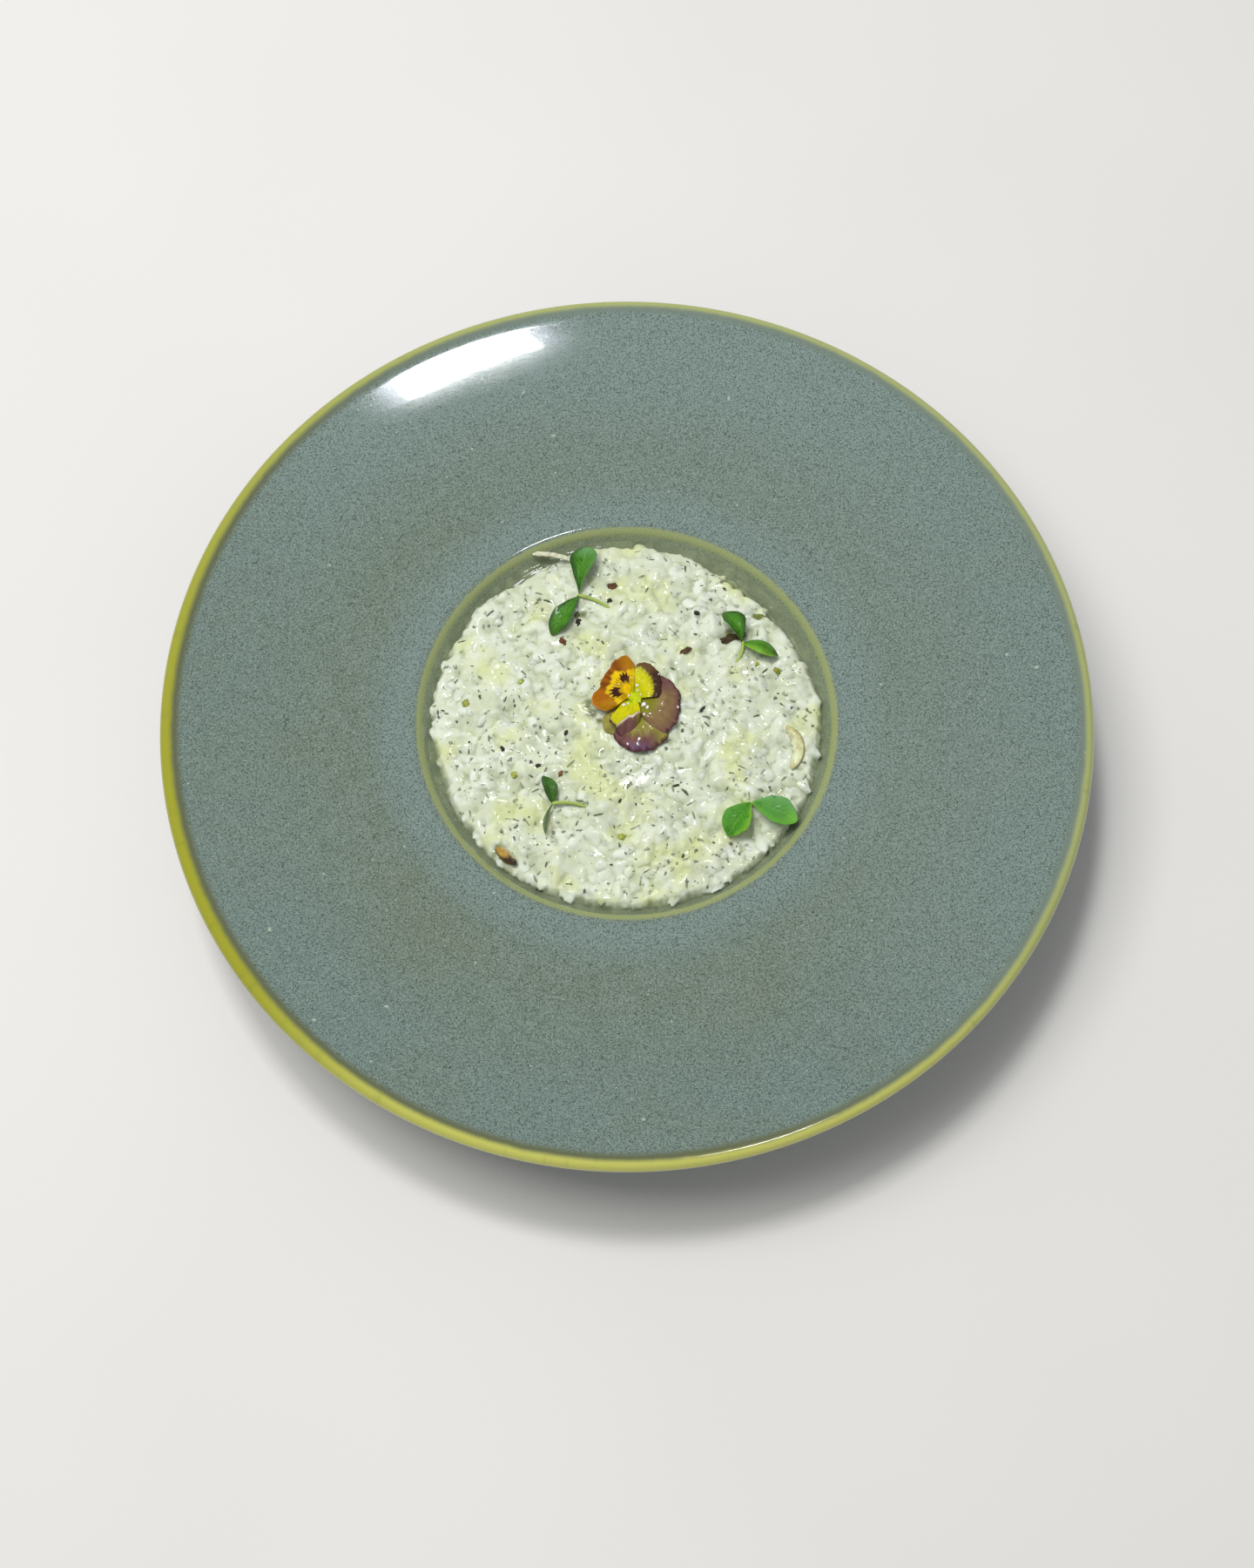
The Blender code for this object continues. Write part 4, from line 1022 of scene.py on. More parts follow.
# bits that stand out: x, y, length, width, thickness, turn, colour
bitList = [
    (-4.9, 43.9, 3.0, 2.0, 1.2, 30, (96, 58, 22)), (17.9, 21.8, 3.6, 1.8, 1.2, 108, (82, 52, 18)),
    (-19.8, 25.0, 2.2, 1.8, 1.0, 40, (110, 62, 24)), (-15.0, 31.5, 2.0, 1.6, 1.0, 15, (36, 34, 24)),
    (-15.4, 34.0, 2.4, 1.6, 0.8, 70, (98, 108, 48)), (21.5, 34.1, 1.8, 1.3, 0.8, 60, (44, 42, 28)),
    (34.4, 33.8, 1.9, 1.2, 0.8, 20, (40, 40, 26)), (-18.5, -5.4, 2.0, 1.0, 0.7, 140, (46, 46, 30)),
    (-26.8, -15.8, 1.7, 1.2, 0.8, 75, (40, 40, 26)), (-37.6, -10.2, 1.8, 1.1, 0.8, 10, (44, 44, 28)),
    (-5.4, 38.8, 1.6, 1.2, 0.8, 100, (38, 36, 24)), (32.4, 26.6, 7.4, 2.4, 1.2, 118, (70, 54, 22)),
    (40.8, 34.2, 3.8, 2.4, 1.2, 102, (122, 132, 58)), (-1.6, -38.0, 2.2, 1.8, 1.0, 20, (176, 186, 72)),
    (-49.0, 4.5, 2.6, 1.8, 1.0, 65, (170, 180, 74)), (-34.0, -18.5, 2.2, 1.6, 1.0, 120, (178, 186, 84)),
    (-32.4, 11.5, 2.0, 1.6, 0.9, 10, (176, 188, 90)), (-20.0, -18.2, 2.0, 1.2, 0.8, 30, (132, 86, 40)),
    (14.8, -22.4, 2.2, 0.8, 0.7, 150, (44, 46, 28)), (17.4, -24.8, 2.6, 0.7, 0.5, 125, (96, 104, 78)),
    (-2.2, -27.0, 1.4, 0.9, 0.7, 80, (40, 44, 26)), (22.8, 2.4, 2.0, 0.9, 0.7, 5, (42, 44, 28)),
    (45.9, 15.8, 2.6, 1.6, 1.0, 70, (148, 154, 40)), (39.8, 17.7, 1.4, 1.0, 0.8, 0, (176, 182, 60)),
]


def buildBits():
    pile = Pile()
    for i, (x, y, length, width, thick, turn, shade) in enumerate(bitList):
        spot, up = ground.ray_cast(Vector((x * mm, y * mm, 0.1)), Vector((0, 0, -1)))[:2]
        up = (up + Vector((0, 0, 2.0))).normalized()
        size = Vector((length, width, thick)) * mm
        verts, faces = lumpAt(spot + up * thick * 0.1 * mm, up, size, turn, i)
        base = np.array(paint(*shade))
        tints = [base * (0.75 + 0.6 * (0.5 + noise.noise(v * 1400))) for v in verts]
        pile.add(verts, faces, tints)
    material, w, shader = newFinish("cooked bits", Subsurface_Weight=0.1, Subsurface_Scale=0.5 * mm,
                                    Specular_IOR_Level=0.5, Coat_Weight=0.5, Coat_Roughness=0.12)
    grit = w.grit(w.spot(), 1800.0, 3.0, 0.6)
    colour = w.mix(w.span(grit, 0.35, 0.7, 0.0, 0.5), w.read("tint").outputs["Color"], paint(30, 28, 16))
    feed(w, shader, Base_Color=colour, Roughness=w.span(grit, 0.3, 0.7, 0.3, 0.55),
         Normal=w.bump(grit, 0.1 * mm, 0.8))
    return pile.build("cookedBits", material)


for piece in (grains, *crumbs, buildBits()):
    finishPiece(piece, "rice")
finishPiece(core, "rice", "risotto")
print("bits laid")


# the leaves: cress-like sprigs of two leaves on a stalk

leafTintsAndPaintedLight = {
    # colours at the base, the middle, the tip and the left and right edges; the tips and edges hold painted
    # light, a pale sheen at the tip and darker and paler halves for shade and light
    "shaded": ((28, 72, 8), (52, 116, 2), (100, 150, 96), (24, 62, 12), (84, 136, 62)),
    "deep": ((54, 106, 14), (56, 122, 4), (44, 86, 10), (46, 94, 8), (26, 54, 10)),
    "halved": ((64, 120, 6), (64, 126, 2), (44, 74, 10), (60, 122, 2), (126, 176, 56)),
    "dark": ((52, 90, 18), (34, 82, 10), (32, 72, 14), (28, 64, 10), (56, 98, 28)),
    "dusty": ((86, 112, 56), (82, 112, 60), (74, 98, 52), (100, 128, 80), (46, 72, 30)),
    "fresh": ((58, 128, 14), (58, 132, 12), (48, 116, 8), (118, 172, 44), (86, 154, 56)),
    "pale": ((78, 144, 52), (74, 142, 56), (112, 182, 58), (108, 162, 96), (98, 168, 48)),
}
leafSize = dict(thick=0.42, rows=44, columns=27, stalk=0.60, joint=1.6, crease=0.35, vein=0.10)


def leafSheet(length, width, belly, arch, cup, tintsAndPaintedLight):
    # points and colours of a leaf that runs along +X from its joint
    t = np.linspace(0, 1, leafSize["rows"])[:, None]
    s = np.linspace(-1, 1, leafSize["columns"])[None, :]
    power = math.log(0.5) / math.log(belly)
    half = width / 2 * np.sin(math.pi * np.clip(t, 0, 1) ** power).clip(0, 1) ** 0.7
    wave = 1 + 0.03 * np.sin(19 * t + 2 * s)
    up = arch * np.sin(math.pi * t) + cup * s**2 * np.sin(math.pi * t)
    up = up - leafSize["crease"] * np.exp(-(s / 0.10) ** 2) * np.sin(math.pi * t)
    veins = np.abs(np.sin(8.5 * math.pi * (t - 0.32 * np.abs(s)))) ** 6
    up = up - leafSize["vein"] * veins * (1 - np.abs(s)) * np.sin(math.pi * t)
    along = length * (t + 0.0 * s)
    points = np.stack([along, half * s * wave, up + 0.0 * s], axis=2) * mm
    base, middle, tip, left, right = [paint(*shade) for shade in tintsAndPaintedLight]
    tint = mixTint(evenTint(base, along.shape), middle, smooth(t + 0 * s, 0.05, 0.45))
    # painted light: the tip colour is a paler sheen, and the edge colours darken one half in shade and
    # lighten the other half in light
    tint = mixTint(tint, tip, smooth(t + 0 * s, 0.62, 0.98))
    tint = mixTint(tint, left, 0.85 * smooth(s + 0 * t, 0.35, 0.95))
    tint = mixTint(tint, right, 0.85 * smooth(-s + 0 * t, 0.35, 0.95))
    paler = 0.30 * veins * (1 - np.abs(s) ** 3) + 0.45 * np.exp(-(s / 0.07) ** 2)
    tint = mixTint(tint, paint(150, 190, 90), 0.5 * np.clip(paler, 0, 1))
    return points, tint


def leafFinish():
    material, w, shader = newFinish("cress leaf", Subsurface_Weight=0.10, Subsurface_Scale=0.5 * mm,
                                    Specular_IOR_Level=0.35, Coat_Weight=0.20, Coat_Roughness=0.12)
    spot = w.spot()
    cells = w.grit(spot, 1900.0, 2.0, 0.6)
    patch = w.grit(spot, 420.0, 3.0, 0.6)
    tint = w.read("tint").outputs["Color"]
    colour = w.mix(w.span(patch, 0.40, 0.66, 0.0, 0.16), tint, paint(110, 166, 80))
    colour = w.mix(w.span(patch, 0.30, 0.44, 0.40, 0.0), colour, paint(22, 62, 4))
    colour = w.mix(w.span(cells, 0.5, 0.75, 0.0, 0.10), colour, paint(140, 190, 80))
    height = w.plus(cells, w.times(patch, 1.5))
    feed(w, shader, Base_Color=colour, Roughness=w.span(cells, 0.3, 0.7, 0.26, 0.44),
         Normal=w.bump(height, 0.10 * mm, 0.6))
    return material


def buildSprig(name, plan, material):
    pile = Pile()
    joint = Vector((*plan["joint"], leafSize["joint"])) * mm
    for angle, length, width, belly, arch, cup, roll, tintsAndPaintedLight in plan["leaves"]:
        points, tint = leafSheet(length, width, belly, arch, cup, leafTintsAndPaintedLight[tintsAndPaintedLight])
        turn = np.array(Euler((math.radians(roll), 0, math.radians(angle))).to_matrix())
        pile.add(*thickSheet(points @ turn.T + np.array(joint), leafSize["thick"] * mm, tint))
    angle, reach = plan["stem"]
    ahead = heading(angle)
    side = Vector((-ahead.y, ahead.x, 0))
    points, radii = [], []
    for i in range(13):
        share = i / 12
        lift = Vector((0, 0, -leafSize["joint"] * share))
        bend = side * 0.9 * math.sin(math.pi * share)
        points.append(joint + (ahead * (reach * share - 0.6 * (1 - share)) + bend + lift) * mm)
        radii.append(leafSize["stalk"] * mm * (1 - 0.35 * share) * (0.5 if i in (0, 12) else 1))
    pile.add(*tube(points, radii, paint(168, 188, 92)))
    sprig = pile.build(camelName(name, "leaves"), material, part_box(name)[0][2])
    return finishPiece(sprig, "leaf", name)


cress = leafFinish()
for name, plan in sprigs.items():
    buildSprig(name, plan, cress)
print("sprigs laid")


# the viola: five petals and a sepal round a bright throat

petals = {
    # each outline: petal lengths in millimetres, evenly spread from one side to the other, anticlockwise
    "sepal": dict(
        heading=232, half=19, outline=(10.6, 12.7, 13.7, 13.3, 12.0),
        lift=-0.3, arch=0.3, roll=-0.5, base=0.0),
    "lower": dict(
        heading=-80, half=38, outline=(13.4, 15.8, 17.3, 18.0, 17.7, 17.2, 14.6),
        lift=0.2, arch=0.8, roll=-0.6, base=0.3),
    "right": dict(
        heading=-13, half=56, outline=(10.0, 15.6, 15.6, 14.6, 14.3, 12.6, 10.6),
        lift=0.7, arch=1.1, roll=-0.5, base=0.2),
    "nearSide": dict(
        heading=255, half=37, outline=(8.4, 11.0, 12.0, 13.9, 13.7, 10.6, 7.0),
        lift=1.1, arch=1.9, roll=-3.2, base=0.9),
    "farSide": dict(
        heading=38, half=49, outline=(7.7, 8.6, 9.3, 10.4, 11.1, 11.3, 9.3),
        lift=1.4, arch=0.9, roll=0.7, base=0.8),
    "lip": dict(
        heading=150, half=68, outline=(8.4, 13.6, 12.8, 10.9, 10.8, 10.3, 12.9, 12.0, 8.6),
        lift=1.9, arch=0.5, roll=-0.4, base=0.0),
}
flowerColours = dict(
    core=paint(255, 208, 0), yellow=paint(228, 192, 0), lemon=paint(206, 202, 0), lime=paint(196, 210, 20),
    orange=paint(166, 98, 0), gold=paint(172, 116, 0), rust=paint(120, 66, 2), rim=paint(206, 140, 60),
    blotch=paint(62, 22, 0), whisker=paint(104, 48, 0), mauve=paint(118, 80, 76), plum=paint(78, 42, 50),
    olive=paint(134, 132, 36), tan=paint(140, 116, 74), brown=paint(104, 78, 46), dark=paint(66, 40, 26),
    straw=paint(150, 142, 70), violet=paint(112, 92, 140), ridge=paint(226, 206, 206),
)


def foldAt(phi):
    # where along its length the near side petal folds over
    stations = (-1, -0.35, -0.15, 0, 0.14, 0.40, 0.61, 1)
    return np.interp(phi, stations, (1.06, 1.04, 0.76, 0.62, 0.54, 0.53, 0.57, 0.85))


def lipTint(x, y, rho, phi):
    # yellow star, whiskers and two dark blotches round a point just behind the throat
    c = flowerColours
    dx, dy = x - flower["throat"][0] + 1.5, y - flower["throat"][1] - 1.9
    away, angle = np.hypot(dx, dy), np.degrees(np.arctan2(dy, dx)) % 360
    turn = np.radians(angle)
    star = 6.1 + 0.65 * np.cos(6 * np.radians(angle - 190)) + 0.25 * np.sin(21 * turn)
    tint = evenTint(c["yellow"], rho.shape)
    tint = mixTint(tint, c["core"], 1 - smooth(away, 1.2, 2.2))
    streaks = 0.5 + 0.5 * np.sin(17 * turn + 2 * np.sin(5 * turn))
    outer = evenTint(c["orange"], rho.shape)
    outer = mixTint(outer, c["rust"], (0.35 + 0.65 * streaks) * (1 - smooth(np.abs(phi + 0.15), 0.25, 0.62)))
    outer = mixTint(outer, c["gold"], smooth(np.abs(phi), 0.50, 0.80))
    tint = tint + (outer - tint) * smooth(away, star - 0.4, star + 0.5)[..., None]
    lines = smooth(np.sin(31 * turn), 0.0, 0.6) * smooth(away, 1.2, 1.9) * (1 - smooth(away, 3.9, 4.8))
    tint = mixTint(tint, c["whisker"], 0.85 * lines)
    for centre, spread, near, far in ((108, 24, 2.2, 5.3), (200, 24, 2.6, 5.8)):
        aside = np.abs(angle - centre) / spread
        ragged = 0.5 * np.sin(31 * turn) - 1.3 * aside**2
        blot = (1 - smooth(aside, 0.8, 1.1)) * smooth(away - ragged * 0.6, near, near + 0.6)
        tint = mixTint(tint, c["blotch"], blot * (1 - smooth(away - ragged, far - 0.5, far + 0.1)))
    return mixTint(tint, c["rim"], smooth(rho, 0.96, 0.995) * (0.35 + 0.65 * smooth(phi, 0.1, 0.8)))


def petalTint(kind, x, y, rho, phi, angle):
    # the petal's colours by share of its length and of its half width, and by direction
    c = flowerColours
    if kind == "lip":
        return lipTint(x, y, rho, phi)
    grain = 0.020 * np.sin(37 * angle) + 0.015 * np.sin(61 * angle + 1)
    if kind in ("farSide", "nearSide"):
        far = kind == "farSide"
        tint = evenTint(c["lime"], rho.shape)
        tint = mixTint(tint, c["lemon"], smooth(rho, 0.15, 0.40))
        edge = np.interp(phi, (-1, 0, 0.5, 1), (0.70, 0.68, 0.72, 0.90)) if far else foldAt(phi)
        tint = mixTint(tint, c["olive"], smooth(rho + grain, edge - 0.08, edge + 0.02) * 0.6)
        tint = mixTint(tint, c["brown"] if far else c["mauve"], smooth(rho + grain, edge, edge + 0.07))
        if far:
            tint = mixTint(tint, c["dark"], smooth(rho, 0.70, 0.80) * (1 - smooth(phi, 0.05, 0.5)))
        else:
            beyond = smooth(rho, edge + 0.03, edge + 0.10)
            tint = mixTint(tint, c["olive"], 0.7 * beyond * smooth(phi, 0.35, 0.7))
            tint = mixTint(tint, c["plum"], smooth(rho, 0.90, 1.0) * (1 - smooth(phi, 0.2, 0.6)))
            # painted highlight: a pale line along the fold of the near side petal
            line = 1 - smooth(np.abs(rho - edge - 0.01), 0.010, 0.035)
            tint = mixTint(tint, c["ridge"], line * smooth(phi, -0.32, -0.20) * (1 - smooth(phi, 0.5, 0.9)))
        lines = smooth(np.sin(23 * angle), 0.85, 0.98)
        lines = lines * smooth(rho, 0.24, 0.30) * (1 - smooth(rho, 0.36, 0.44))
        return mixTint(tint, c["whisker"], 0.35 * lines)
    if kind == "sepal":
        tint = evenTint(c["straw"], rho.shape)
        return mixTint(tint, c["brown"], 0.5 * smooth(np.abs(phi), 0.7, 1.0))
    tint = evenTint(c["olive"], rho.shape)
    veins = 0.5 + 0.5 * np.sin(29 * angle + 2.5 * rho + np.sin(11 * angle))
    if kind == "right":
        tint = mixTint(tint, c["tan"], smooth(rho + grain, 0.42, 0.62))
        tint = mixTint(tint, c["mauve"], 0.35 * veins * smooth(rho, 0.5, 0.8))
        tint = mixTint(tint, c["mauve"], smooth(rho + grain, 0.45, 0.70) * smooth(phi, 0.15, 0.65))
        tint = mixTint(tint, c["mauve"], smooth(rho, 0.80, 0.97) * 0.8)
        return mixTint(tint, c["plum"], smooth(rho + grain, 0.93, 1.0))
    tint = mixTint(tint, c["straw"], 0.7 * smooth(rho, 0.45, 0.60))
    tint = mixTint(tint, c["mauve"], smooth(rho + grain, 0.62, 0.82) * (1 - smooth(phi, 0.2, 0.7)))
    # painted sheen: a lilac band near the tip of the lower petal
    sheen = smooth(rho, 0.80, 0.92) * (1 - smooth(np.abs(phi + 0.1), 0.1, 0.5))
    tint = mixTint(tint, c["violet"], 0.45 * sheen)
    return mixTint(tint, c["plum"], smooth(rho + grain, 0.90, 1.0))


def petalSheet(kind, plan, rows=56, columns=81):
    rho = np.linspace(0.04, 1, rows)[:, None] + np.zeros((1, columns))
    phi = np.linspace(-1, 1, columns)[None, :] + np.zeros((rows, 1))
    stations = np.linspace(-1, 1, len(plan["outline"]))
    dense = np.linspace(-1, 1, 181)
    outline = np.interp(dense, stations, plan["outline"])
    for _ in range(40):
        outline[1:-1] = (outline[:-2] + 2 * outline[1:-1] + outline[2:]) / 4
    length = np.interp(phi, dense, outline) * (1 - 0.18 * smooth(np.abs(phi), 0.92, 1.0))
    spread = 1 + plan["base"] * (1 - rho) ** 2
    angle = math.radians(plan["heading"]) + math.radians(plan["half"]) * phi * spread
    length = length * (1 + 0.010 * np.sin(19 * angle) + 0.006 * np.sin(41 * angle + 1))
    x = flower["throat"][0] + rho * length * np.cos(angle)
    y = flower["throat"][1] + rho * length * np.sin(angle)
    up = plan["lift"] * smooth(rho, 0.0, 0.4)
    if kind == "nearSide":
        fold = foldAt(phi)
        up = up + plan["arch"] * np.sin(math.pi / 2 * np.clip(rho / fold, 0, 1) ** 1.4)
        up = up + plan["roll"] * smooth(rho, fold, 1.05) * (0.5 + 0.5 * rho)
    else:
        up = up + plan["arch"] * np.sin(math.pi * np.clip(rho, 0, 1) ** 1.3)
        up = up + plan["roll"] * smooth(rho, 0.55, 1.0)
    up = up + 0.20 * np.sin(7 * phi + 2 * rho) * rho**2 + 0.02 * np.sin(34 * angle) * rho * (1 - rho) * 4
    up = up + 0.16 * ripple(x, y, 2.1, len(kind)) * smooth(rho, 0.1, 0.4)
    return np.stack([x, y, up], axis=2) * mm, petalTint(kind, x, y, rho, phi, angle)


def petalFinish():
    material, w, shader = newFinish("velvet petal", Subsurface_Weight=0.06, Subsurface_Scale=0.4 * mm,
                                    Specular_IOR_Level=0.15, Coat_Weight=0.35, Coat_Roughness=0.10)
    spot = w.spot()
    fine = w.grit(spot, 1500.0, 3.0, 0.65)
    patch = w.grit(spot, 380.0, 3.0, 0.6)
    tint = w.read("tint").outputs["Color"]
    dulled = w.mix(1.0, tint, paint(214, 208, 204), "MULTIPLY")
    colour = w.mix(w.span(patch, 0.34, 0.66, 0.5, 0.0), tint, dulled)
    colour = w.mix(w.span(fine, 0.55, 0.80, 0.0, 0.08), colour, paint(216, 200, 140))
    height = w.plus(fine, w.times(patch, 1.2))
    feed(w, shader, Base_Color=colour, Roughness=w.span(fine, 0.3, 0.7, 0.30, 0.50),
         Normal=w.bump(height, 0.08 * mm, 0.6))
    return material


def buildFlower():
    pile = Pile()
    for kind, plan in petals.items():
        points, tint = petalSheet(kind, plan)
        pile.add(*thickSheet(points, 0.30 * mm, tint))
    x, y = flower["throat"]
    centre, size = Vector((x + 0.9, y - 0.9, 1.3)) * mm, Vector((4.2, 3.6, 1.8)) * mm
    verts, faces = lumpAt(centre, Vector((0, 0, 1)), size, -40, 3)
    pile.add(verts, faces, [flowerColours["lime"]] * len(verts))
    viola = pile.build("violaPetals", petalFinish(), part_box("viola")[0][2])
    return finishPiece(viola, "petal", "viola")


viola = buildFlower()
print("viola laid")


# drops on the flower, painted white to stand for its glints: x, y from the throat and radius, in millimetres

glintDropList = [
    (-1.2, 0.2, 0.55), (-2.7, -3.4, 0.6), (-1.5, -2.6, 0.5), (2.0, -2.2, 0.30), (3.2, -2.9, 0.85),
    (4.3, -4.0, 0.6), (1.2, 3.0, 0.55), (1.4, 1.6, 0.45), (2.3, 0.2, 0.4), (3.4, -6.4, 0.45),
    (5.2, -6.2, 0.4), (1.8, -13.9, 0.55), (1.4, -15.4, 0.5), (-1.6, -15.2, 0.4), (13.6, -3.6, 0.45),
    (7.8, 6.4, 0.3)]
# white dashes that paint the glints on the broth drawn up against the rice: x, y, length and turn
paintedBrothGlints = [
    (-33.6, 46.6, 3.9, 37), (-28.5, 50.1, 3.8, 28), (-21.8, 52.5, 4.4, 20), (-0.1, 57.4, 1.9, -14),
    (-9.0, 57.0, 1.5, 8), (-36.6, -44.6, 2.0, -28)]


def buildGlintDrops():
    petalsTree = BVHTree.FromPolygons([v.co for v in viola.data.vertices],
                                      [tuple(p.vertices) for p in viola.data.polygons])
    pile, glintWhite = Pile(), paint(255, 255, 255)
    for i, (x, y, radius) in enumerate(glintDropList):
        start = Vector(((flower["throat"][0] + x) * mm, (flower["throat"][1] + y) * mm, 0.1))
        spot, up = petalsTree.ray_cast(start, Vector((0, 0, -1)))[:2]
        if spot is None:
            continue
        verts, faces = lumpAt(spot, up, Vector((1.9, 1.3, 0.7)) * radius * mm, 40 * i, i + 9)
        pile.add(verts, faces, [glintWhite] * len(verts))
    for i, (x, y, length, turn) in enumerate(paintedBrothGlints):
        spot = Vector((x * mm, y * mm, brothShape["level"] + 0.3 * mm))
        verts, faces = lumpAt(spot, Vector((0, 0, 1)), Vector((length, 0.55, 0.5)) * mm, turn, i + 50)
        pile.add(verts, faces, [glintWhite] * len(verts))
    # near white drops and dashes: painted glints on the flower and the broth
    material, w, shader = newFinish("white glint drop", Roughness=0.08, Specular_IOR_Level=0.6, Alpha=0.92)
    grit = w.grit(w.spot(), 900.0, 2.0)
    colour = w.mix(w.span(grit, 0.3, 0.7), paint(236, 234, 246), paint(255, 254, 255))
    feed(w, shader, Base_Color=colour, Normal=w.bump(grit, 0.2 * mm, 0.8))
    return finishPiece(pile.build("wetBeads", material), "petal")


buildGlintDrops()
print("beads and glints laid")


# slices of mushroom and the shred of cheese

def sliceFinish(name):
    material, w, shader = newFinish(name, Subsurface_Weight=0.2, Subsurface_Scale=0.8 * mm,
                                    Specular_IOR_Level=0.5, Coat_Weight=0.5, Coat_Roughness=0.10)
    spot = w.spot()
    fibre = w.grit(spot, 1100.0, 3.0, 0.6)
    patch = w.grit(spot, 420.0, 2.0, 0.6)
    tint = w.read("tint").outputs["Color"]
    browned = w.mix(1.0, tint, paint(190, 170, 130), "MULTIPLY")
    colour = w.mix(w.span(patch, 0.38, 0.64, 0.45, 0.0), tint, browned)
    feed(w, shader, Base_Color=colour, Roughness=w.span(fibre, 0.3, 0.7, 0.25, 0.45),
         Normal=w.bump(w.plus(fibre, patch), 0.12 * mm, 0.7))
    return material


def buildSlice(name, plan, material):
    rows, columns = 44, 17
    turnShare = np.linspace(0, 1, rows)[:, None] + np.zeros((1, columns))
    across = np.linspace(0, 1, columns)[None, :] + np.zeros((rows, 1))
    angle = math.radians(plan["sweep"]) * (turnShare - 0.5)
    depth = plan["width"] * (0.45 + 0.55 * np.sin(math.pi * turnShare))
    depth = depth * (1 - 0.5 * smooth(np.abs(2 * turnShare - 1), 0.93, 1.0))
    ragged = 0.15 * np.sin(13 * angle + 1) + 0.10 * np.sin(29 * angle)
    reach = plan["radius"] - depth * across + ragged * across
    up = 0.4 * np.sin(2 * angle) + 0.30 * np.sin(math.pi * across) + 0.012 * np.sin(40 * angle)
    points = np.stack([reach * np.cos(angle), reach * np.sin(angle), up], axis=2) * mm
    tint = evenTint(paint(*plan["flesh"]), angle.shape)
    tint = mixTint(tint, paint(*plan["end"]), smooth(turnShare + 0.1 * np.sin(9 * across), *plan["fade"]))
    tint = mixTint(tint, paint(*plan["rim"]), 1 - smooth(across, 0.10, 0.22))
    tint = mixTint(tint, paint(*plan["inner"]), 0.9 * smooth(across, 0.55, 0.95))
    turn = np.array(Euler([math.radians(a) for a in plan["turn"]]).to_matrix())
    points = points @ turn.T + np.array((*plan["spot"], 0)) * mm
    pile = Pile()
    pile.add(*thickSheet(points, plan["thick"] * mm, tint))
    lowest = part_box(name)[0][2] - plan["bed"] * mm
    piece = pile.build(camelName(name, "slice"), material, lowest)
    return finishPiece(piece, "mushroom", name)


sliceSkin = sliceFinish("stewed mushroom")
for name, plan in mushrooms.items():
    buildSlice(name, plan, sliceSkin)

print("mushroom slices laid")

shred = dict(
    spot=(-23.2, 54.0), length=12.6, width=1.7, thick=0.7, turn=(0, 6, -7), bow=0.5,
    colour=(222, 228, 206), edge=(150, 156, 116))


def buildShred():
    rows, columns = 50, 11
    along = np.linspace(-0.5, 0.5, rows)[:, None] + np.zeros((1, columns))
    side = np.linspace(-1, 1, columns)[None, :] + np.zeros((rows, 1))
    bow = shred["bow"] * np.cos(math.pi * along)
    width = shred["width"] / 2 * (1 - 0.55 * smooth(np.abs(along), 0.38, 0.5))
    width = width * (1 + 0.07 * np.sin(31 * along))
    up = bow + 0.10 * np.sin(44 * along) + 0.12 * np.cos(math.pi * side / 2)
    points = np.stack([shred["length"] * along, side * width + bow, up], axis=2) * mm
    turn = np.array(Euler([math.radians(a) for a in shred["turn"]]).to_matrix())
    points = points @ turn.T + np.array((*shred["spot"], 0)) * mm
    tint = evenTint(paint(*shred["colour"]), along.shape)
    tint = mixTint(tint, paint(*shred["edge"]), 0.8 * (1 - smooth(side, -0.95, -0.6)))
    pile = Pile()
    pile.add(*thickSheet(points, shred["thick"] * mm, tint))
    piece = pile.build("cheeseShredCurl", sliceFinish("grated cheese"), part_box("cheese_shred")[0][2])
    return finishPiece(piece, "cheese", "cheese_shred")


buildShred()
print("cheese shred laid")


# the floor, the lights and the camera

floorSize = 12
corners = [(x * floorSize, y * floorSize, 0) for x, y in ((-1, -1), (1, -1), (1, 1), (-1, 1))]
floorPaint, w, shader = newFinish("pale floor", Roughness=0.6)
shade = w.mix(w.span(w.grit(w.spot(), 5.0, 2.0), 0.3, 0.7), paint(229, 227, 224), paint(226, 224, 221))
feed(w, shader, Base_Color=shade)
place("floor", meshFrom("floor", corners, [(0, 1, 2, 3)], False), floorPaint)

studio = dict(strength=0.34, colour=(0.94, 0.97, 1.0))
world = bpy.data.worlds.new("studio")
bpy.context.scene.world = world
world.use_nodes = True
backdrop = world.node_tree.nodes["Background"]
backdrop.inputs["Color"].default_value = (*studio["colour"], 1.0)
backdrop.inputs["Strength"].default_value = studio["strength"]

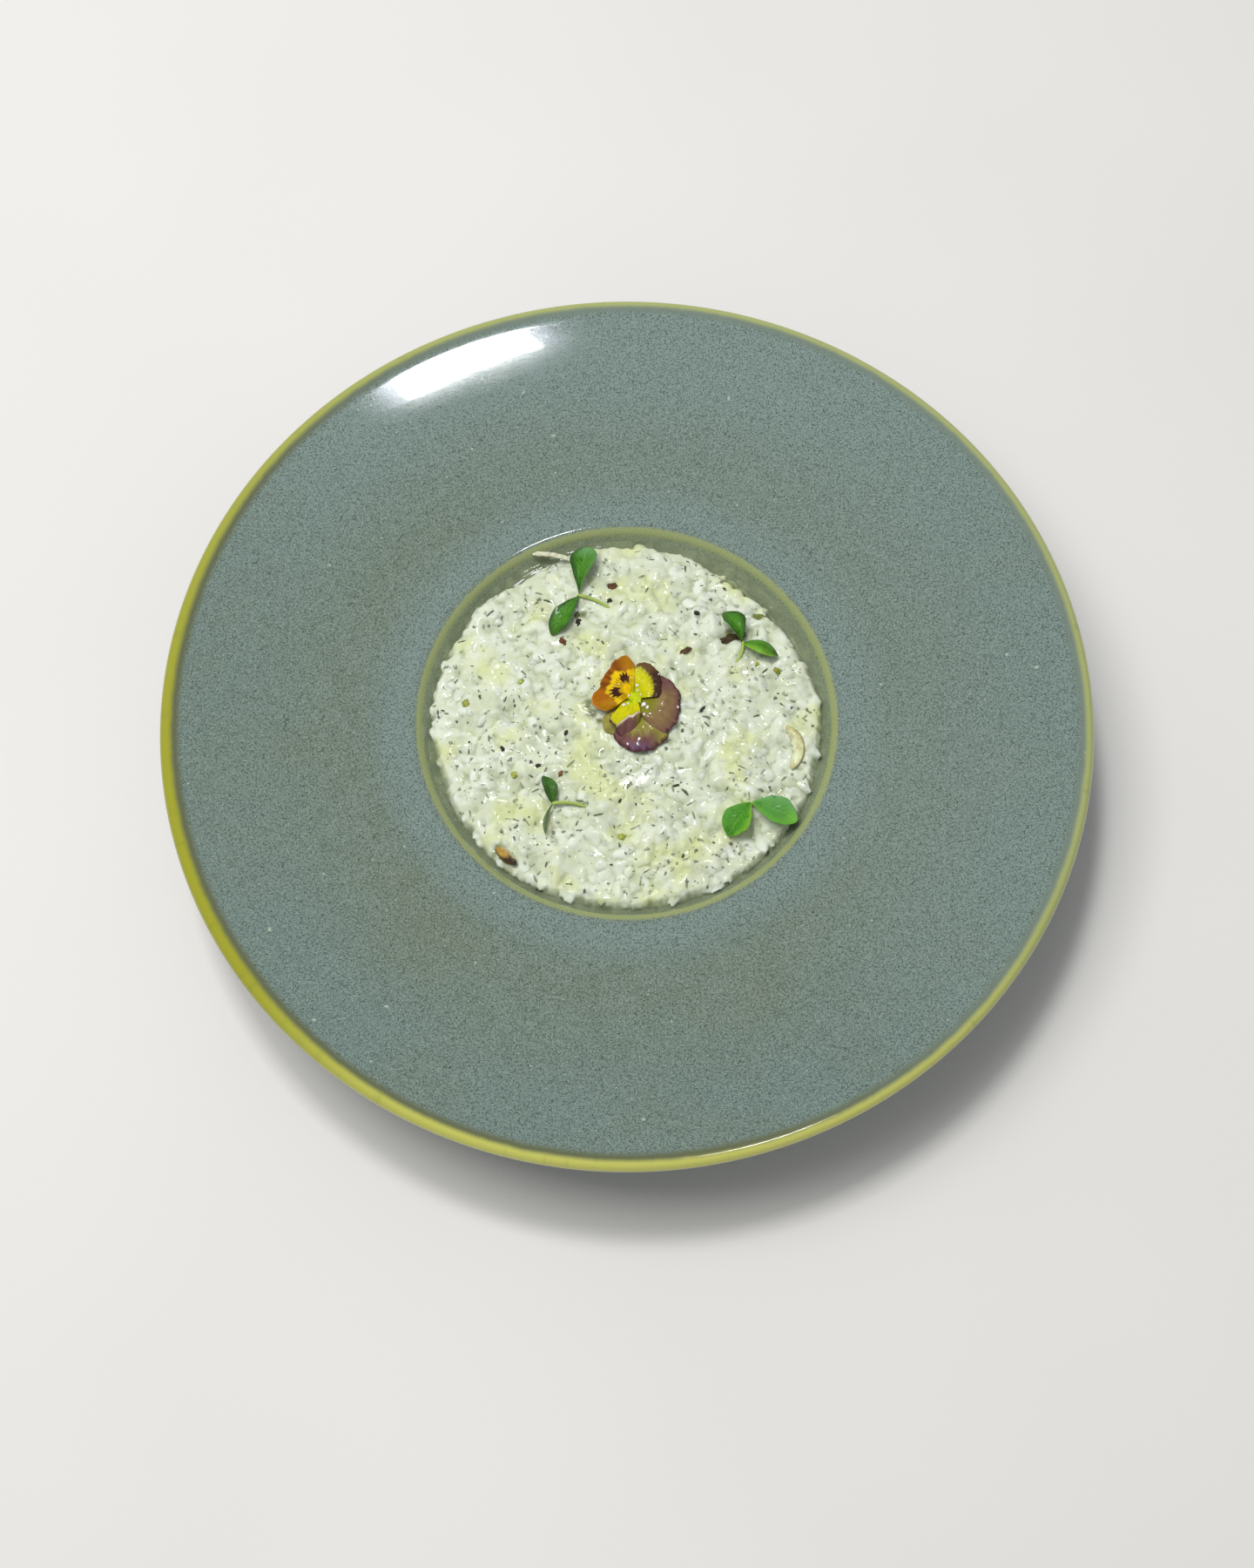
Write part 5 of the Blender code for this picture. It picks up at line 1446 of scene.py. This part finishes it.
# one window of three nested panels, seen only as a reflection, and two lamps that leave none
window = dict(at=(0.0774, 0.3553, 1.524), turn=33, panels={
    "window": dict(size=(0.062, 0.062), power=60, colour=(0.97, 0.98, 1.0)),
    "window core": dict(size=(0.038, 0.040), power=350, colour=(0.97, 0.98, 1.0)),
    "window glow": dict(size=(0.082, 0.062), power=4, colour=(0.66, 0.66, 1.0)),
})
lamps = {
    "key panel": dict(at=(-0.45, 0.10, 1.30), size=(0.65, 0.65), power=7.4, colour=(1.0, 0.99, 0.97)),
    "ceiling lamp": dict(at=(-0.20, 0.30, 1.46), size=(0.22, 0.22), power=49.0, colour=(1.0, 1.0, 1.0)),
}
lampAim = Vector((0, 0, 0.04))


def panel(name, plan):
    # a rectangular soft light that faces down; power is its radiance
    light = bpy.data.lights.new(name, "AREA")
    light.shape = "RECTANGLE"
    light.size, light.size_y = plan["size"]
    light.color = plan["colour"]
    light.energy = plan["power"] * light.size * light.size_y * math.pi
    lamp = bpy.data.objects.new(name, light)
    bpy.context.scene.collection.objects.link(lamp)
    lamp.visible_camera = False
    return lamp


for name, plan in window["panels"].items():
    pane = panel(name, plan)
    pane.location = window["at"]
    pane.rotation_euler = (0, 0, math.radians(window["turn"]))
    pane.visible_diffuse = False
for name, plan in lamps.items():
    lamp = panel(name, plan)
    facing = (Vector(plan["at"]) - lampAim).to_track_quat("Z", "X")
    lamp.matrix_world = Matrix.Translation(plan["at"]) @ facing.to_matrix().to_4x4()
    lamp.visible_glossy = False
print("lights hung")

view = dict(lens=52.8, sensor=36, elevation=68.18, distance=0.692, aimHeight=0.040, nod=1.862)
camera = bpy.data.cameras.new("camera")
camera.lens, camera.sensor_width = view["lens"], view["sensor"]
eye = bpy.data.objects.new("camera", camera)
bpy.context.scene.collection.objects.link(eye)
elevation = math.radians(view["elevation"])
back = Vector((0, -math.cos(elevation), math.sin(elevation)))
eye.location = Vector((0, 0, view["aimHeight"])) + view["distance"] * back
ahead = Matrix.Rotation(-math.radians(view["nod"]), 4, "X") @ -back
eye.rotation_euler = ahead.to_track_quat("-Z", "Y").to_euler()
bpy.context.scene.camera = eye
bpy.context.scene.view_settings.view_transform = "Standard"
